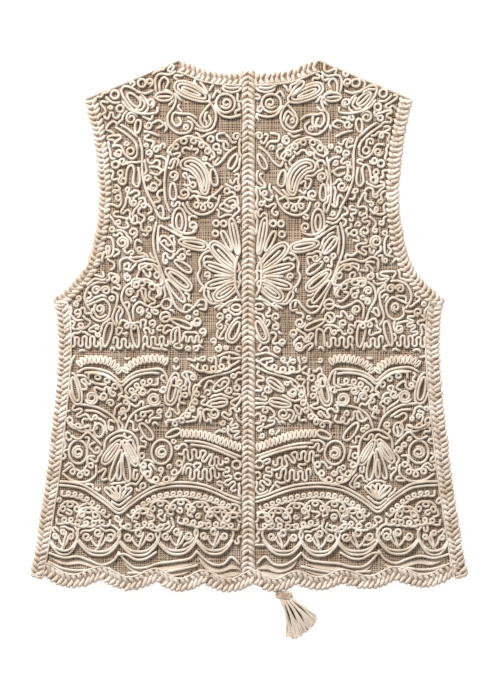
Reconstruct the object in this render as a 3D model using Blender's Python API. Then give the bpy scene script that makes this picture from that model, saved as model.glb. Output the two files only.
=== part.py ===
"""A sleeveless crochet top of corded net, laid flat with its back uppermost.

Plan positions are given in millimetres as x, to the wearer's left or right of the centre, and
drop, the distance down the garment from the neck points. The floor is z = 0.
"""

import math

import bmesh
import bpy
import numpy as np
from mathutils import Vector
from mathutils.geometry import delaunay_2d_cdt

for old in list(bpy.data.objects):
    bpy.data.objects.remove(old, do_unlink=True)

MM = 0.001
LENGTH = 671.9  # from the neck points to the tassel's end
NECK_Y = LENGTH / 2
SEAM_GAP = 0.3
PIT_GAP = 1.4

FRONT_WALL = 3.0
BACK_FLOOR = FRONT_WALL + SEAM_GAP
NET_WALL = 1.7
CORD_RISE = 1.6
CORD_HALF = 2.1
RIM_ROOM = 1.2  # from a raised cord to the panel's rim
BRAID_WIDTH = 14.6
SIDE_BRAID_WIDTH = 15.4
CENTRE_BRAID_WIDTH = 14.6
NECK_TIP_RISE = 4.5

STATION = 14.0
CORD_STATION = 10.0
CENTRE_STATIONS = 34
MIDDLE = (0.0, 300.0)

# Columns: drop, half width of the garment.
BACK_ARMHOLE = ((46, 190), (70, 184), (105, 178), (151, 174), (186, 176), (221, 183), (244, 193),
                (267, 214), (276, 228))
FRONT_ARMHOLE = ((45, 187), (70, 177), (105, 169), (151, 165), (186, 168), (221, 177), (244, 189),
                 (267, 212), (276, 228))
SIDE_EDGE = ((277.4, 227.4), (297, 222.6), (331, 221), (383, 224), (429, 229), (476, 234),
             (522, 241), (568, 248), (597, 254))
BACK_NECK = ((0, 80), (2.0, 72), (7, 60), (11, 50), (13.5, 36), (15, 20), (15.3, 0))
FRONT_NECK = ((0, 80), (20, 70), (44, 56), (62, 34), (70, 14), (71, 0))
SHOULDER = ((80.0, 0.0), (190.0, 46.0))
# Columns: x, drop of each cusp of the hem; then the drop of each scallop between two cusps.
HEM_CUSPS = ((-238, 597), (-170, 602), (-107, 604), (-52, 606), (6, 606), (55, 607), (108, 605),
             (169, 602), (238, 597))
HEM_BOTTOMS = (611, 614, 616, 616, 616, 614, 613, 611)

# The arcs of the border: first arc's distance from the centre, pitch, drop of their ends, depth.
ARC_START, ARC_PITCH, ARC_DROP, ARC_DEPTH = 4.0, 42.0, 546.0, 24.0
ARC_COUNT = 5

# Columns: share of the width from the outer edge, height, share of the cloth's wave it rides.
BACK_SECTION = ((0.05, 3.3, 1), (0.0, 4.3, 1), (0.07, 5.7, 1), (0.27, 6.9, 1), (0.5, 5.7, 1),
                (0.73, 6.9, 1), (0.93, 5.7, 1), (1.0, 4.3, 1), (0.95, 3.3, 1))
FRONT_SECTION = ((0.04, 0.0, 0), (0.0, 1.5, 0), (0.06, 3.0, 0), (0.94, 3.0, 0), (1.0, 1.5, 0),
                 (0.96, 0.0, 0))
FOLD_SECTION = ((1.0, 0.0, 0), (0.09, 0.0, 0), (0.0, 1.3, 0), (0.0, 4.9, 1), (0.1, 6.1, 1),
                (0.29, 6.9, 1), (0.51, 5.7, 1), (0.73, 6.9, 1), (0.94, 5.7, 1), (1.0, 4.3, 1),
                (1.0, 3.3, 1), (0.25, 3.3, 1), (0.25, 3.0, 0), (1.0, 3.0, 0))

ARMHOLE_LAYERS = (("back", BACK_ARMHOLE, BACK_SECTION), ("front", FRONT_ARMHOLE, FRONT_SECTION))

TASSEL_HEAD_X = (31.2, 49.6)
TASSEL_HEAD_DROP = (616.6, 625.0)
TASSEL_HEAD_THICK = 7.0
HEAD_LEAN = 3.0
STRANDS_ACROSS = 12
STRAND_LAYERS = 3
STRAND_SIZE = 1.25
# Columns: x, drop of the tassel's spread end, left to right.
TASSEL_END = ((44.5, 671.4), (55, 671.9), (66.5, 664.5), (76, 655), (81.5, 645))


# ---------------------------------------------------------------- plan geometry
def wave(x, drop):
    """How far the uppermost layer ripples above its lowest level."""
    slow = math.sin(x / 41.0 + drop / 88.0)
    quick = math.sin(drop / 49.0 - x / 117.0)
    return 0.35 * (1 + slow) + 0.25 * (1 + quick)


def catmull(points, spacing):
    """Points about every spacing along a smooth curve through the given ones."""
    ends = [points[0], *points, points[-1]]
    out = []
    for before, start, stop, after in zip(ends, ends[1:], ends[2:], ends[3:]):
        count = max(1, round(math.dist(start, stop) / spacing))
        for i in range(count):
            t = i / count
            out.append(tuple(0.5 * (2 * b + (c - a) * t + (2 * a - 5 * b + 4 * c - d) * t * t
                                    + (3 * b - a - 3 * c + d) * t ** 3)
                             for a, b, c, d in zip(before, start, stop, after)))
    return out + [tuple(map(float, points[-1]))]


def edge(table, side, spacing=STATION):
    """The outer edge that a table of drops and half widths gives, on one side."""
    return catmull([(side * half, drop) for drop, half in table], spacing)


def normal_at(path, i):
    """The mitred normal at a point of the path, on the side of the garment's middle."""
    x, drop = path[i]
    here = [Vector(path[j + 1]) - Vector(path[j]) for j in (i - 1, i) if 0 <= j < len(path) - 1]
    normals = [Vector((-step.y, step.x)).normalized() for step in here]
    normals = [n if n.dot(Vector((MIDDLE[0] - x, MIDDLE[1] - drop))) > 0 else -n for n in normals]
    mean = sum(normals, Vector((0, 0))).normalized()
    return mean / mean.dot(normals[0])


def inset(path, distance):
    """The path moved towards the garment's middle."""
    return [tuple(Vector(p) + distance * normal_at(path, i)) for i, p in enumerate(path)]


def hem_span(x):
    """The scallop that x lies in, and how far across it x is, from 0 to 1."""
    x = min(max(x, HEM_CUSPS[0][0]), HEM_CUSPS[-1][0])
    i = max(k for k in range(len(HEM_BOTTOMS)) if HEM_CUSPS[k][0] <= x)
    start, stop = HEM_CUSPS[i][0], HEM_CUSPS[i + 1][0]
    return i, (x - start) / (stop - start)


def hem_edge(x, upper):
    """The drop of the hem braid's lower, cusped edge or of its upper, wavy one."""
    i, t = hem_span(x)
    cusp = (1 - t) * HEM_CUSPS[i][1] + t * HEM_CUSPS[i + 1][1]
    if upper:
        return cusp + (HEM_BOTTOMS[i] - cusp) * (0.5 - 0.5 * math.cos(2 * math.pi * t)) - BRAID_WIDTH
    return cusp + (HEM_BOTTOMS[i] - cusp) * (1 - abs(2 * t - 1) ** 2.2)


def hem_stations():
    """The x of each section of the hem, with one on every cusp."""
    xs = []
    for (start, _), (stop, _) in zip(HEM_CUSPS, HEM_CUSPS[1:]):
        xs += [start + (stop - start) * k / 5 for k in range(5)]
    return xs + [HEM_CUSPS[-1][0]]


def crossing(first, second):
    """Where two paths cross: the place, and the segment's index on each."""
    for i, (a, b) in enumerate(zip(first, first[1:])):
        for j, (c, d) in enumerate(zip(second, second[1:])):
            one, two = Vector(b) - Vector(a), Vector(d) - Vector(c)
            turn = one.cross(two)
            gap = Vector(c) - Vector(a)
            if abs(turn) > 1e-9 and 0 <= gap.cross(two) / turn <= 1 and 0 <= gap.cross(one) / turn <= 1:
                return tuple(Vector(a) + one * (gap.cross(two) / turn)), i, j
    raise ValueError("paths do not cross")


def across_at(path, drop):
    """The point of the path at a drop."""
    return crossing(path, [(-300.0, drop), (300.0, drop)])[0]


def hem_edges():
    """The lower and upper edges of the hem braid, its ends cut along the side braids."""
    edges = [[(x, hem_edge(x, upper)) for x in hem_stations()] for upper in (False, True)]
    for end, side in ((0, -1), (-1, 1)):
        side_braid = stretched(inset(edge(SIDE_EDGE, side), SIDE_BRAID_WIDTH + 2 * SEAM_GAP), 8.0)
        for line in edges:
            line[end] = across_at(side_braid, line[end][1])
    return edges


def above_hem():
    """The line just above the hem braid that the panels end on."""
    return stretched([(x, drop - SEAM_GAP) for x, drop in hem_edges()[1]], 4.0)


def closed_chain(paths):
    """The loop that paths make when each is trimmed where it crosses the next."""
    loop = []
    meets = [crossing(path, after) for path, after in zip(paths, paths[1:] + paths[:1])]
    for k, path in enumerate(paths):
        start, stop = meets[k - 1][2] + 1, meets[k][1] + 1
        loop.append(meets[k - 1][0])
        loop += [p for p in path[start:stop] if min(math.dist(p, meets[k - 1][0]),
                                                    math.dist(p, meets[k][0])) > 0.5]
    return loop


def stretched(path, reach):
    """The path with both ends drawn out straight."""
    first, last = Vector(path[0]), Vector(path[-1])
    head = first + reach * (first - Vector(path[1])).normalized()
    tail = last + reach * (last - Vector(path[-2])).normalized()
    return [tuple(head), *path, tuple(tail)]


# ---------------------------------------------------------------- cord motifs
def leaf(tail, tip, width, count=10):
    """A closed pointed oval from tail to tip."""
    axis = Vector(tip) - Vector(tail)
    across = Vector((-axis.y, axis.x)).normalized() * width / 2
    out = []
    for k in range(count):
        turn = 2 * math.pi * k / count
        along = 0.5 - 0.5 * math.cos(turn)
        out.append(tuple(Vector(tail) + along * axis + math.sin(turn) * (0.6 + 0.4 * along) * across))
    return out + [out[0]]


def ring(centre, across, down=None, count=10):
    """A closed round or oval loop."""
    down = down or across
    turns = [2 * math.pi * k / count for k in range(count + 1)]
    return [(centre[0] + across * math.cos(a), centre[1] + down * math.sin(a)) for a in turns]


def hook(centre, radius, start, turn, shrink=0.35, count=12):
    """A curl that winds inwards from the start angle, in degrees, by the turn."""
    out = []
    for k in range(count + 1):
        share = k / count
        angle = math.radians(start + turn * share)
        size = radius * (1 - (1 - shrink) * share)
        out.append((centre[0] + size * math.cos(angle), centre[1] + size * math.sin(angle)))
    return out


def route(*points):
    """A smooth open cord."""
    return catmull(points, CORD_STATION)


def scallop_rings():
    """The arcs of the border, side by side."""
    angles = [math.radians(-12 + 24 * j) for j in range(9)]
    return [[(ARC_START + ARC_PITCH * (k + 0.5 + 0.5 * math.cos(a)), ARC_DROP + ARC_DEPTH * math.sin(a))
             for a in angles] for k in range(ARC_COUNT)]


def main_motifs():
    """Every raised cord of one half of the back, as paths of distance from the centre and drop."""
    yoke = [
        leaf((48, 44), (83, 31), 16), hook((31, 50), 11, 60, 330), leaf((13, 35), (29, 36), 7, 8),
        route((87, 24), (94, 34), (84, 44), (92, 62), (86, 80), (70, 86), (58, 74), (66, 62)),
        route((47, 50), (58, 66), (54, 82), (42, 74), (43, 62)),
        leaf((126, 53), (148, 33), 16), route((126, 53), (116, 57), (106, 56)),
        route((152, 76), (136, 86), (122, 100), (124, 116), (136, 113)),
    ]
    paisley = [
        route((90, 168), (95, 140), (92, 112), (74, 91), (55, 97), (43, 111), (36, 122), (24, 109), (15, 102)),
        route((74, 132), (67, 135), (60, 145), (56, 155), (47, 152), (46, 139), (55, 122), (68, 118),
              (76, 125), (74, 132)),
        route((71, 165), (57, 180), (42, 176), (33, 160)), route((60, 159), (47, 161), (29, 149)),
        leaf((87, 145), (86, 162), 8, 8), ring((80, 188), 7, 14),
    ]
    stems = [
        route((121, 104), (122, 138), (114, 162), (102, 184), (92, 182), (90, 166)),
        leaf((106, 190), (111, 222), 8), leaf((50, 216), (80, 211), 11),
        route((102, 191), (84, 200), (62, 206)),
        route((107, 232), (99, 256), (88, 284), (72, 293), (60, 282), (52, 288), (55, 296)),
        leaf((92, 250), (67, 270), 9), ring((132, 206), 6, count=8), ring((150, 212), 8, count=8),
        route((150, 232), (136, 228), (132, 240), (112, 236)),
    ]
    flower = [
        leaf((13, 245), (43, 215), 17), leaf((13, 260), (39, 277), 15), leaf((17, 250), (51, 239), 10),
        leaf((17, 255), (49, 264), 10),
        route((45, 222), (56, 232), (58, 246), (56, 262), (50, 275), (38, 283), (24, 284), (14, 278)),
        leaf((12, 226), (19, 186), 9), leaf((22, 220), (31, 199), 7), leaf((11, 300), (21, 327), 15),
    ]
    vases = [
        route((186, 290), (190, 276), (177, 261), (161, 265), (153, 280), (159, 304), (151, 324)),
        route((138, 330), (141, 304), (148, 280), (138, 263), (121, 261), (109, 276), (112, 288)),
        hook((172, 302), 10, 200, 360), hook((122, 306), 11, 20, 360), ring((96, 312), 7, count=8),
    ]
    swags = [
        route((195, 352), (172, 344), (158, 352), (146, 367), (132, 352), (116, 345), (92, 347)),
        route((193, 361), (172, 359), (158, 366), (146, 380), (130, 366), (112, 360), (92, 361)),
        leaf((200, 364), (201, 400), 13), leaf((90, 400), (84, 366), 13), ring((180, 391), 6, count=8),
        ring((110, 391), 6, count=8), route((176, 400), (160, 410), (150, 426), (138, 408), (114, 399)),
        route((78, 362), (62, 355), (46, 367), (28, 364), (12, 352)),
        route((12, 366), (38, 370), (56, 382), (63, 400), (74, 416), (98, 419)),
        hook((40, 398), 11, 90, 330),
    ]
    lower = [
        route((80, 430), (50, 432), (28, 438), (12, 446)),
        route((86, 436), (52, 444), (26, 452), (12, 459)),
        ring((195, 456), 12), ring((100, 454), 12),
        leaf((148, 434), (171, 468), 8), leaf((147, 434), (131, 468), 8),
        leaf((156, 462), (164, 488), 8), leaf((145, 462), (140, 486), 8), ring((150, 505), 9, 8, 8),
        route((204, 448), (180, 434), (150, 427), (132, 436), (126, 452)),
        route((216, 490), (194, 492), (174, 504), (150, 519), (126, 503), (103, 494), (78, 491), (50, 494),
              (30, 503), (12, 509)),
    ]
    border = [
        *scallop_rings(), route((222, 572), (196, 575), (160, 572)),
        route((136, 578), (100, 574), (70, 578)), route((52, 570), (34, 580), (14, 570)),
    ]
    return yoke + paisley + stems + flower + vases + swags + lower + border


# ---------------------------------------------------------------- solids
def material(name, colour, roughness):
    """A plain cotton finish."""
    made = bpy.data.materials.new(name)
    made.use_nodes = True
    shader = made.node_tree.nodes["Principled BSDF"]
    shader.inputs["Base Color"].default_value = (*colour, 1)
    shader.inputs["Roughness"].default_value = roughness
    shader.inputs["Metallic"].default_value = 0.0
    return made


def place(x, drop, z):
    """Plan position to world metres."""
    return (x * MM, (NECK_Y - drop) * MM, z * MM)


def add_solid(name, bm, finish):
    """One named object from a closed mesh."""
    bmesh.ops.recalc_face_normals(bm, faces=bm.faces)
    mesh = bpy.data.meshes.new(name)
    bm.to_mesh(mesh)
    bm.free()
    if sum(p.center.dot(p.normal) * p.area for p in mesh.polygons) < 0:
        mesh.flip_normals()
    mesh.materials.append(finish)
    made = bpy.data.objects.new(name, mesh)
    bpy.context.scene.collection.objects.link(made)
    return made


def band(name, outer, inner, section, finish):
    """A strip between two edges, with the same section all along."""
    bm = bmesh.new()
    rings = []
    for (xa, da), (xb, db) in zip(outer, inner):
        loop = []
        for share, height, rides in section:
            x, drop = xa + (xb - xa) * share, da + (db - da) * share
            loop.append(bm.verts.new(place(x, drop, height + rides * wave(x, drop))))
        rings.append(loop)
    count = len(section)
    for one, two in zip(rings, rings[1:]):
        for k in range(count):
            after = (k + 1) % count
            bm.faces.new((one[k], one[after], two[after], two[k]))
    bm.faces.new(rings[0])
    bm.faces.new(rings[-1][::-1])
    return add_solid(name, bm, finish)


def inside(point, loop):
    """Whether a plan point lies within a closed loop."""
    x, drop = point
    hit = False
    for (xa, da), (xb, db) in zip(loop, loop[1:] + loop[:1]):
        if (da > drop) != (db > drop) and x < xa + (xb - xa) * (drop - da) / (db - da):
            hit = not hit
    return hit


def distances(points, paths):
    """How far each plan point lies from the nearest of the paths."""
    near = np.full(len(points), 1e9)
    where = np.array(points, dtype=float).reshape(-1, 2)
    for path in paths:
        for a, b in zip(path, path[1:]):
            start, run = np.array(a), np.array(b) - np.array(a)
            t = np.clip((where - start) @ run / max(run @ run, 1e-9), 0, 1)
            near = np.minimum(near, np.linalg.norm(where - start - t[:, None] * run, axis=1))
    return near


def beside(path, distance):
    """The path moved sideways, with its ends rounded in."""
    out = []
    for i, p in enumerate(path):
        run = Vector(path[min(i + 1, len(path) - 1)]) - Vector(path[max(i - 1, 0)])
        if path[0] == path[-1] and i in (0, len(path) - 1):
            run = Vector(path[1]) - Vector(path[-2])
        out.append(tuple(Vector(p) + Vector((-run.y, run.x)).normalized() * distance))
    return out


def triangulated(outline, paths, extra):
    """Plan triangles inside the outline that keep every path as edges."""
    points = [Vector(p) for p in outline]
    edges = [(i, (i + 1) % len(outline)) for i in range(len(outline))]
    for path in paths:
        start = len(points)
        points += [Vector(p) for p in path]
        edges += [(start + i, start + i + 1) for i in range(len(path) - 1)]
    points += [Vector(p) for p in extra]
    made = delaunay_2d_cdt(points, edges, [], 1, 0.05)
    rim = {source: i for i, sources in enumerate(made[3]) for source in sources}
    return made[0], made[2], [rim[k] for k in range(len(outline))]


def panel(name, outline, cords, levels, rides, finish):
    """A flat piece between two levels, with its cords raised on the upper face."""
    low, high = levels
    spread = [(x, drop) for x in range(-232, 250, 46) for drop in range(20, 600, 46)]
    spread = [p for p in spread if rides and inside(p, outline)]
    spread = [p for p, room in zip(spread, distances(spread, [outline + outline[:1]])) if room > 9]
    bare = [p for p, room in zip(spread, distances(spread, cords)) if room > 9]
    lines = [line for cord in cords for line in (cord, beside(cord, CORD_HALF), beside(cord, -CORD_HALF))]
    bm = bmesh.new()
    faces = {}
    for upper, paths, extra in ((True, lines, bare), (False, [], spread)):
        points, triangles, rim = triangulated(outline, paths, extra)
        rise = np.zeros(len(points))
        if upper and cords:
            rise = CORD_RISE * np.clip(1 - distances(points, cords) / CORD_HALF, 0, 1)
        level = high if upper else low
        verts = [bm.verts.new(place(p.x, p.y, level + rides * wave(p.x, p.y) + r))
                 for p, r in zip(points, rise)]
        for corner in triangles:
            bm.faces.new([verts[i] for i in (corner if upper else corner[::-1])])
        faces[upper] = [verts[i] for i in rim]
    top, bottom = faces[True], faces[False]
    for i in range(len(top)):
        after = (i + 1) % len(top)
        bm.faces.new((top[i], top[after], bottom[after], bottom[i]))
    loose = [v for v in bm.verts if not v.link_faces]
    bmesh.ops.delete(bm, geom=loose, context="VERTS")
    return add_solid(name, bm, finish)


def tassel(name, finish):
    """A wound head with loose strands fused to its lower end."""
    across, layers = STRANDS_ACROSS, STRAND_LAYERS
    left, right = TASSEL_HEAD_X
    middle, half = (left + right) / 2, (right - left) / 2
    start, stop = TASSEL_HEAD_DROP
    thick = TASSEL_HEAD_THICK / 2
    bm = bmesh.new()
    # Columns: share of the head's length, share of its full width and thickness.
    outline = ((0.0, 0.78, 0.7), (0.25, 1.0, 1.0), (0.6, 1.0, 1.0), (0.85, 0.86, 0.86), (1.0, 0.66, 0.8))

    def on_head(i, k, share, wide, deep):
        """A point of the head's section: a square grid drawn round."""
        a, b = 2 * i / across - 1, 2 * k / layers - 1
        x = a * math.sqrt(1 - 0.42 * b * b)
        z = b * math.sqrt(1 - 0.42 * a * a)
        across_plan = middle + HEAD_LEAN * share + x * wide * half
        return place(across_plan, start + (stop - start) * share, thick + z * deep * thick)

    rim = ([(i, 0) for i in range(across)] + [(across, k) for k in range(layers)]
           + [(i, layers) for i in range(across, 0, -1)] + [(0, k) for k in range(layers, 0, -1)])
    rings = [[bm.verts.new(on_head(i, k, *row)) for i, k in rim] for row in outline]
    bm.faces.new(rings[0])
    for one, two in zip(rings, rings[1:]):
        for k in range(len(rim)):
            after = (k + 1) % len(rim)
            bm.faces.new((one[k], one[after], two[after], two[k]))
    grid = dict(zip(rim, rings[-1]))
    for i in range(1, across):
        for k in range(1, layers):
            grid[i, k] = bm.verts.new(on_head(i, k, *outline[-1]))
    ends = catmull(TASSEL_END, 3.0)
    for i in range(across):
        for k in range(layers):
            strand(bm, [grid[i, k], grid[i + 1, k], grid[i + 1, k + 1], grid[i, k + 1]], i, k, ends)
    return add_solid(name, bm, finish)


def strand(bm, root, i, k, ends):
    """One thread of the tassel, drawn out of a square of its head."""
    start = sum((v.co for v in root), Vector()) / 4 / MM
    share = (i + 0.5) / STRANDS_ACROSS
    place_on_end = share * (len(ends) - 1)
    low = min(int(place_on_end), len(ends) - 2)
    x, drop = Vector(ends[low]).lerp(Vector(ends[low + 1]), place_on_end - low)
    short = 2.2 * abs(math.sin(2.3 * i + 1.9 * k))
    stop = Vector((x, NECK_Y - drop, 1.0 + 1.9 * k))
    run = stop - start
    stop -= run.normalized() * short
    run = stop - start
    side = Vector((run.y, -run.x, 0)).normalized()
    before = root
    half = STRAND_SIZE / 2
    # Columns: share of the strand's length, sideways sway.
    for along, sway in ((0.06, 0.0), (0.35, 0.4), (0.7, -0.4), (1.0, 0.0)):
        centre = start + run * along + side * sway * math.sin(1.7 * i + 0.9 * k)
        corners = [centre - side * half - Vector((0, 0, half)), centre + side * half - Vector((0, 0, half)),
                   centre + side * half + Vector((0, 0, half)), centre - side * half + Vector((0, 0, half))]
        if (root[1].co - root[0].co).dot(side) < 0:
            corners = [corners[1], corners[0], corners[3], corners[2]]
        after = [bm.verts.new(c * MM) for c in corners]
        for n in range(4):
            m = (n + 1) % 4
            bm.faces.new((before[n], before[m], after[m], after[n]))
        before = after
    bm.faces.new(before)


# ---------------------------------------------------------------- the garment
net_cotton = material("corded net", (0.53, 0.41, 0.30), 0.9)
braid_cotton = material("crochet braid", (0.66, 0.53, 0.40), 0.85)
tassel_cotton = material("tassel thread", (0.72, 0.58, 0.45), 0.85)


def shoulder_line(side):
    """The sloping shoulder edge."""
    (xa, da), (xb, db) = SHOULDER
    return stretched([(side * xa, da), (side * xb, db)], 3.0)


def armhole_edges(table, side, gap=0.0):
    """The outer and inner edges of an armhole braid, its ends cut at the shoulder and side braid."""
    outer = edge(table, side)
    inner = inset(outer, BRAID_WIDTH + gap)
    top = crossing(stretched(inner, 12.0)[:3], shoulder_line(side))[0]
    pit = crossing(inner[-3:], stretched(inset(edge(SIDE_EDGE, side), SIDE_BRAID_WIDTH + gap), 20.0))[0]
    return outer, [top, *inner[1:-1], pit]


def side_edges(side):
    """The outer and inner edges of a side braid, from just under the armhole braids to the hem."""
    outer = edge(SIDE_EDGE, side)
    inner = inset(outer, SIDE_BRAID_WIDTH)
    pits = [armhole_edges(table, side)[1][-1] for table in (BACK_ARMHOLE, FRONT_ARMHOLE)]
    pit = Vector(max(pits, key=lambda p: p[1]))
    inner[0] = tuple(pit + PIT_GAP * (Vector(inner[1]) - pit).normalized())
    run = Vector(inner[-1]) - Vector(inner[-2])
    inner[-1] = tuple(Vector(inner[-2]) + run * (outer[-1][1] - inner[-2][1]) / run.y)
    return outer, inner


def build_side(side, word):
    """The pieces of one half: back panel, armhole braids and side braid."""
    side_outer, side_inner = side_edges(side)
    band(f"side_braid_{word}", side_outer, side_inner, FOLD_SECTION, braid_cotton)
    for layer, table, section in ARMHOLE_LAYERS:
        band(f"armhole_braid_{word}_{layer}", *armhole_edges(table, side), section, braid_cotton)
    beside_centre = CENTRE_BRAID_WIDTH / 2 + SEAM_GAP
    neck_outer = [p for p in edge(BACK_NECK, side) if abs(p[0]) > beside_centre + 2]
    neck_outer.append((side * beside_centre, BACK_NECK[-1][0]))
    band(f"neck_braid_back_{word}", neck_outer, inset(neck_outer, BRAID_WIDTH), BACK_SECTION, braid_cotton)
    outline = back_outline(side, neck_outer, side_outer)
    cords = [[(side * u, drop) for u, drop in path] for path in main_motifs()]
    cords = [c for c in cords if all(inside(p, outline) for p in c)
             and distances(c, [outline + outline[:1]]).min() > CORD_HALF + RIM_ROOM]
    levels = (BACK_FLOOR, BACK_FLOOR + NET_WALL)
    panel(f"back_panel_{word}", outline, cords, levels, 1, net_cotton)


def back_outline(side, neck_outer, side_outer):
    """The plan of one back panel, inside its braids."""
    middle = side * (CENTRE_BRAID_WIDTH / 2 + SEAM_GAP)
    end = [neck_outer[0], inset(neck_outer, BRAID_WIDTH + SEAM_GAP)[0]]
    away = side * SEAM_GAP * 1.3
    neck_end = stretched([(x + away, drop) for x, drop in end], 2.0)
    armhole = armhole_edges(BACK_ARMHOLE, side, SEAM_GAP)[1]
    hem = above_hem()
    return closed_chain([
        [(middle, LENGTH), (middle, 5.0)],
        stretched(inset(neck_outer, BRAID_WIDTH + SEAM_GAP), 4.0)[::-1],
        neck_end[::-1],
        shoulder_line(side),
        stretched(armhole, 3.0),
        stretched(inset(side_outer, SIDE_BRAID_WIDTH + SEAM_GAP), 20.0),
        hem if side < 0 else hem[::-1],
    ])


def front_outline(neck_outer):
    """The plan of the front panel, inside its braids."""
    gap = BRAID_WIDTH + SEAM_GAP
    parts = []
    for side in (1, -1):
        run = [shoulder_line(side), stretched(armhole_edges(FRONT_ARMHOLE, side, SEAM_GAP)[1], 3.0),
               stretched(inset(edge(SIDE_EDGE, side), SIDE_BRAID_WIDTH + SEAM_GAP), 20.0)]
        parts.append(run)
    neck = stretched(inset(neck_outer, gap), 6.0)
    return closed_chain([neck, *parts[0], above_hem()[::-1], *[p[::-1] for p in parts[1][::-1]]])


def build_middle():
    """The pieces that run across both halves."""
    half = CENTRE_BRAID_WIDTH / 2
    top = BACK_NECK[-1][0]
    foot = min(drop for x, drop in above_hem() if abs(x) < half)
    drops = [top + (foot - top) * k / CENTRE_STATIONS for k in range(CENTRE_STATIONS + 1)]
    left = [(-half * 0.3, top - NECK_TIP_RISE)] + [(-half, drop) for drop in drops]
    right = [(half * 0.1, top - NECK_TIP_RISE)] + [(half, drop) for drop in drops]
    band("centre_braid", left, right, BACK_SECTION, braid_cotton)
    neck_left = edge(FRONT_NECK, -1)
    neck_outer = neck_left + [(-x, drop) for x, drop in neck_left[-2::-1]]
    band("neck_braid_front", neck_outer, inset(neck_outer, BRAID_WIDTH), FRONT_SECTION, braid_cotton)
    for layer, section in (("back", BACK_SECTION), ("front", FRONT_SECTION)):
        band(f"hem_braid_{layer}", *hem_edges(), section, braid_cotton)
    panel("front_panel", front_outline(neck_outer), [], (0.0, FRONT_WALL), 0, net_cotton)
    tassel("tassel", tassel_cotton)


for side_sign, side_word in ((-1, "left"), (1, "right")):
    build_side(side_sign, side_word)
build_middle()
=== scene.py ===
import math
import random

import bpy
import numpy as np
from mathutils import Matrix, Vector
from mathutils.geometry import delaunay_2d_cdt

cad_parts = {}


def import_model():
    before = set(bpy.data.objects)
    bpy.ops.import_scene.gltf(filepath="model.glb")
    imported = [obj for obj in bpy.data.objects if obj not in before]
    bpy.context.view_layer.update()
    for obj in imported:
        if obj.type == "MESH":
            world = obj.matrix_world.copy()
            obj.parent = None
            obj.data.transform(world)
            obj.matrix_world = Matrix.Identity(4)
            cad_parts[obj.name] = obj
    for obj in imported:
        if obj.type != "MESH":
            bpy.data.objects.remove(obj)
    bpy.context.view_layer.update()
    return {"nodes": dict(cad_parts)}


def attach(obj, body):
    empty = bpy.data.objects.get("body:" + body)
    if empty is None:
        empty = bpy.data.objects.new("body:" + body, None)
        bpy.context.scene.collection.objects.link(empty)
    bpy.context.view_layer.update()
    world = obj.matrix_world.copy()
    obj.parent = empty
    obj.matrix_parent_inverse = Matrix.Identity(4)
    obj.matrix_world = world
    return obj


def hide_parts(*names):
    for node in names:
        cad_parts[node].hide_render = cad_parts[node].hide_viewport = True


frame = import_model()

# ---------------------------------------------------------------- Net panels
# The ground is an open square net of thin ecru cotton, hooked flat in two back panels and one front.
# Each is made here as the thin web of shade behind the net, with the net's own threads laid over it
# as warps and wefts 2.4 mm apart.
NECK_Y = 335.95  # mm, world Y of the neck points; a plan place is x and the drop below them
TOUCH = 0.01  # mm, ends nearer than this are one point
WAVES = (0.35, 0.25)  # mm, half height of the slow and the quick wave in the upper layer
NET_PITCH = 2.4
NET_THREAD = 0.52  # mm, half width
NET_HAND = 0.38  # mm, how far a thread strays from its even place
WEFT, WARP = -0.12, 0.2  # mm, height of the threads across and down from the net's middle
BACK_SHADE, BACK_NET = 3.7, 4.75  # mm above the floor, where the upper layer doesn't ripple
FRONT_SHADE, FRONT_NET = 1.5, 0.75
WEB_HALF = 0.25  # mm, half the web's thickness
WEB_CELL = 9.0


def ripple(x, drop):
    """How far the upper layer rides over the lower one, in mm."""
    slow = np.sin(x / 41.0 + drop / 88.0)
    quick = np.sin(drop / 49.0 - x / 117.0)
    return WAVES[0] * (1 + slow) + WAVES[1] * (1 + quick)


def world(x, drop, z):
    """Plan places in mm to world metres, a row each."""
    return np.stack(np.broadcast_arrays(x, NECK_Y - np.asarray(drop, float), z), -1) * 0.001


def linear(code):
    """An sRGB hex colour as linear RGBA."""
    parts = [int(code[i:i + 2], 16) / 255 for i in (1, 3, 5)]
    return (*[c / 12.92 if c <= 0.04045 else ((c + 0.055) / 1.055) ** 2.4 for c in parts], 1.0)


def add(tree, kind, settings=None, **inputs):
    """One node. An input is a value or a socket, named with _ for a space, or i0, i1 by number."""
    made = tree.nodes.new(kind)
    for key, value in (settings or {}).items():
        setattr(made, key, value)
    for key, value in inputs.items():
        by_number = key[0] == "i" and key[1:].isdigit()
        socket = made.inputs[int(key[1:]) if by_number else key.replace("_", " ")]
        if isinstance(value, bpy.types.NodeSocket):
            tree.links.new(value, socket)
        else:
            socket.default_value = value
    return made


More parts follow.
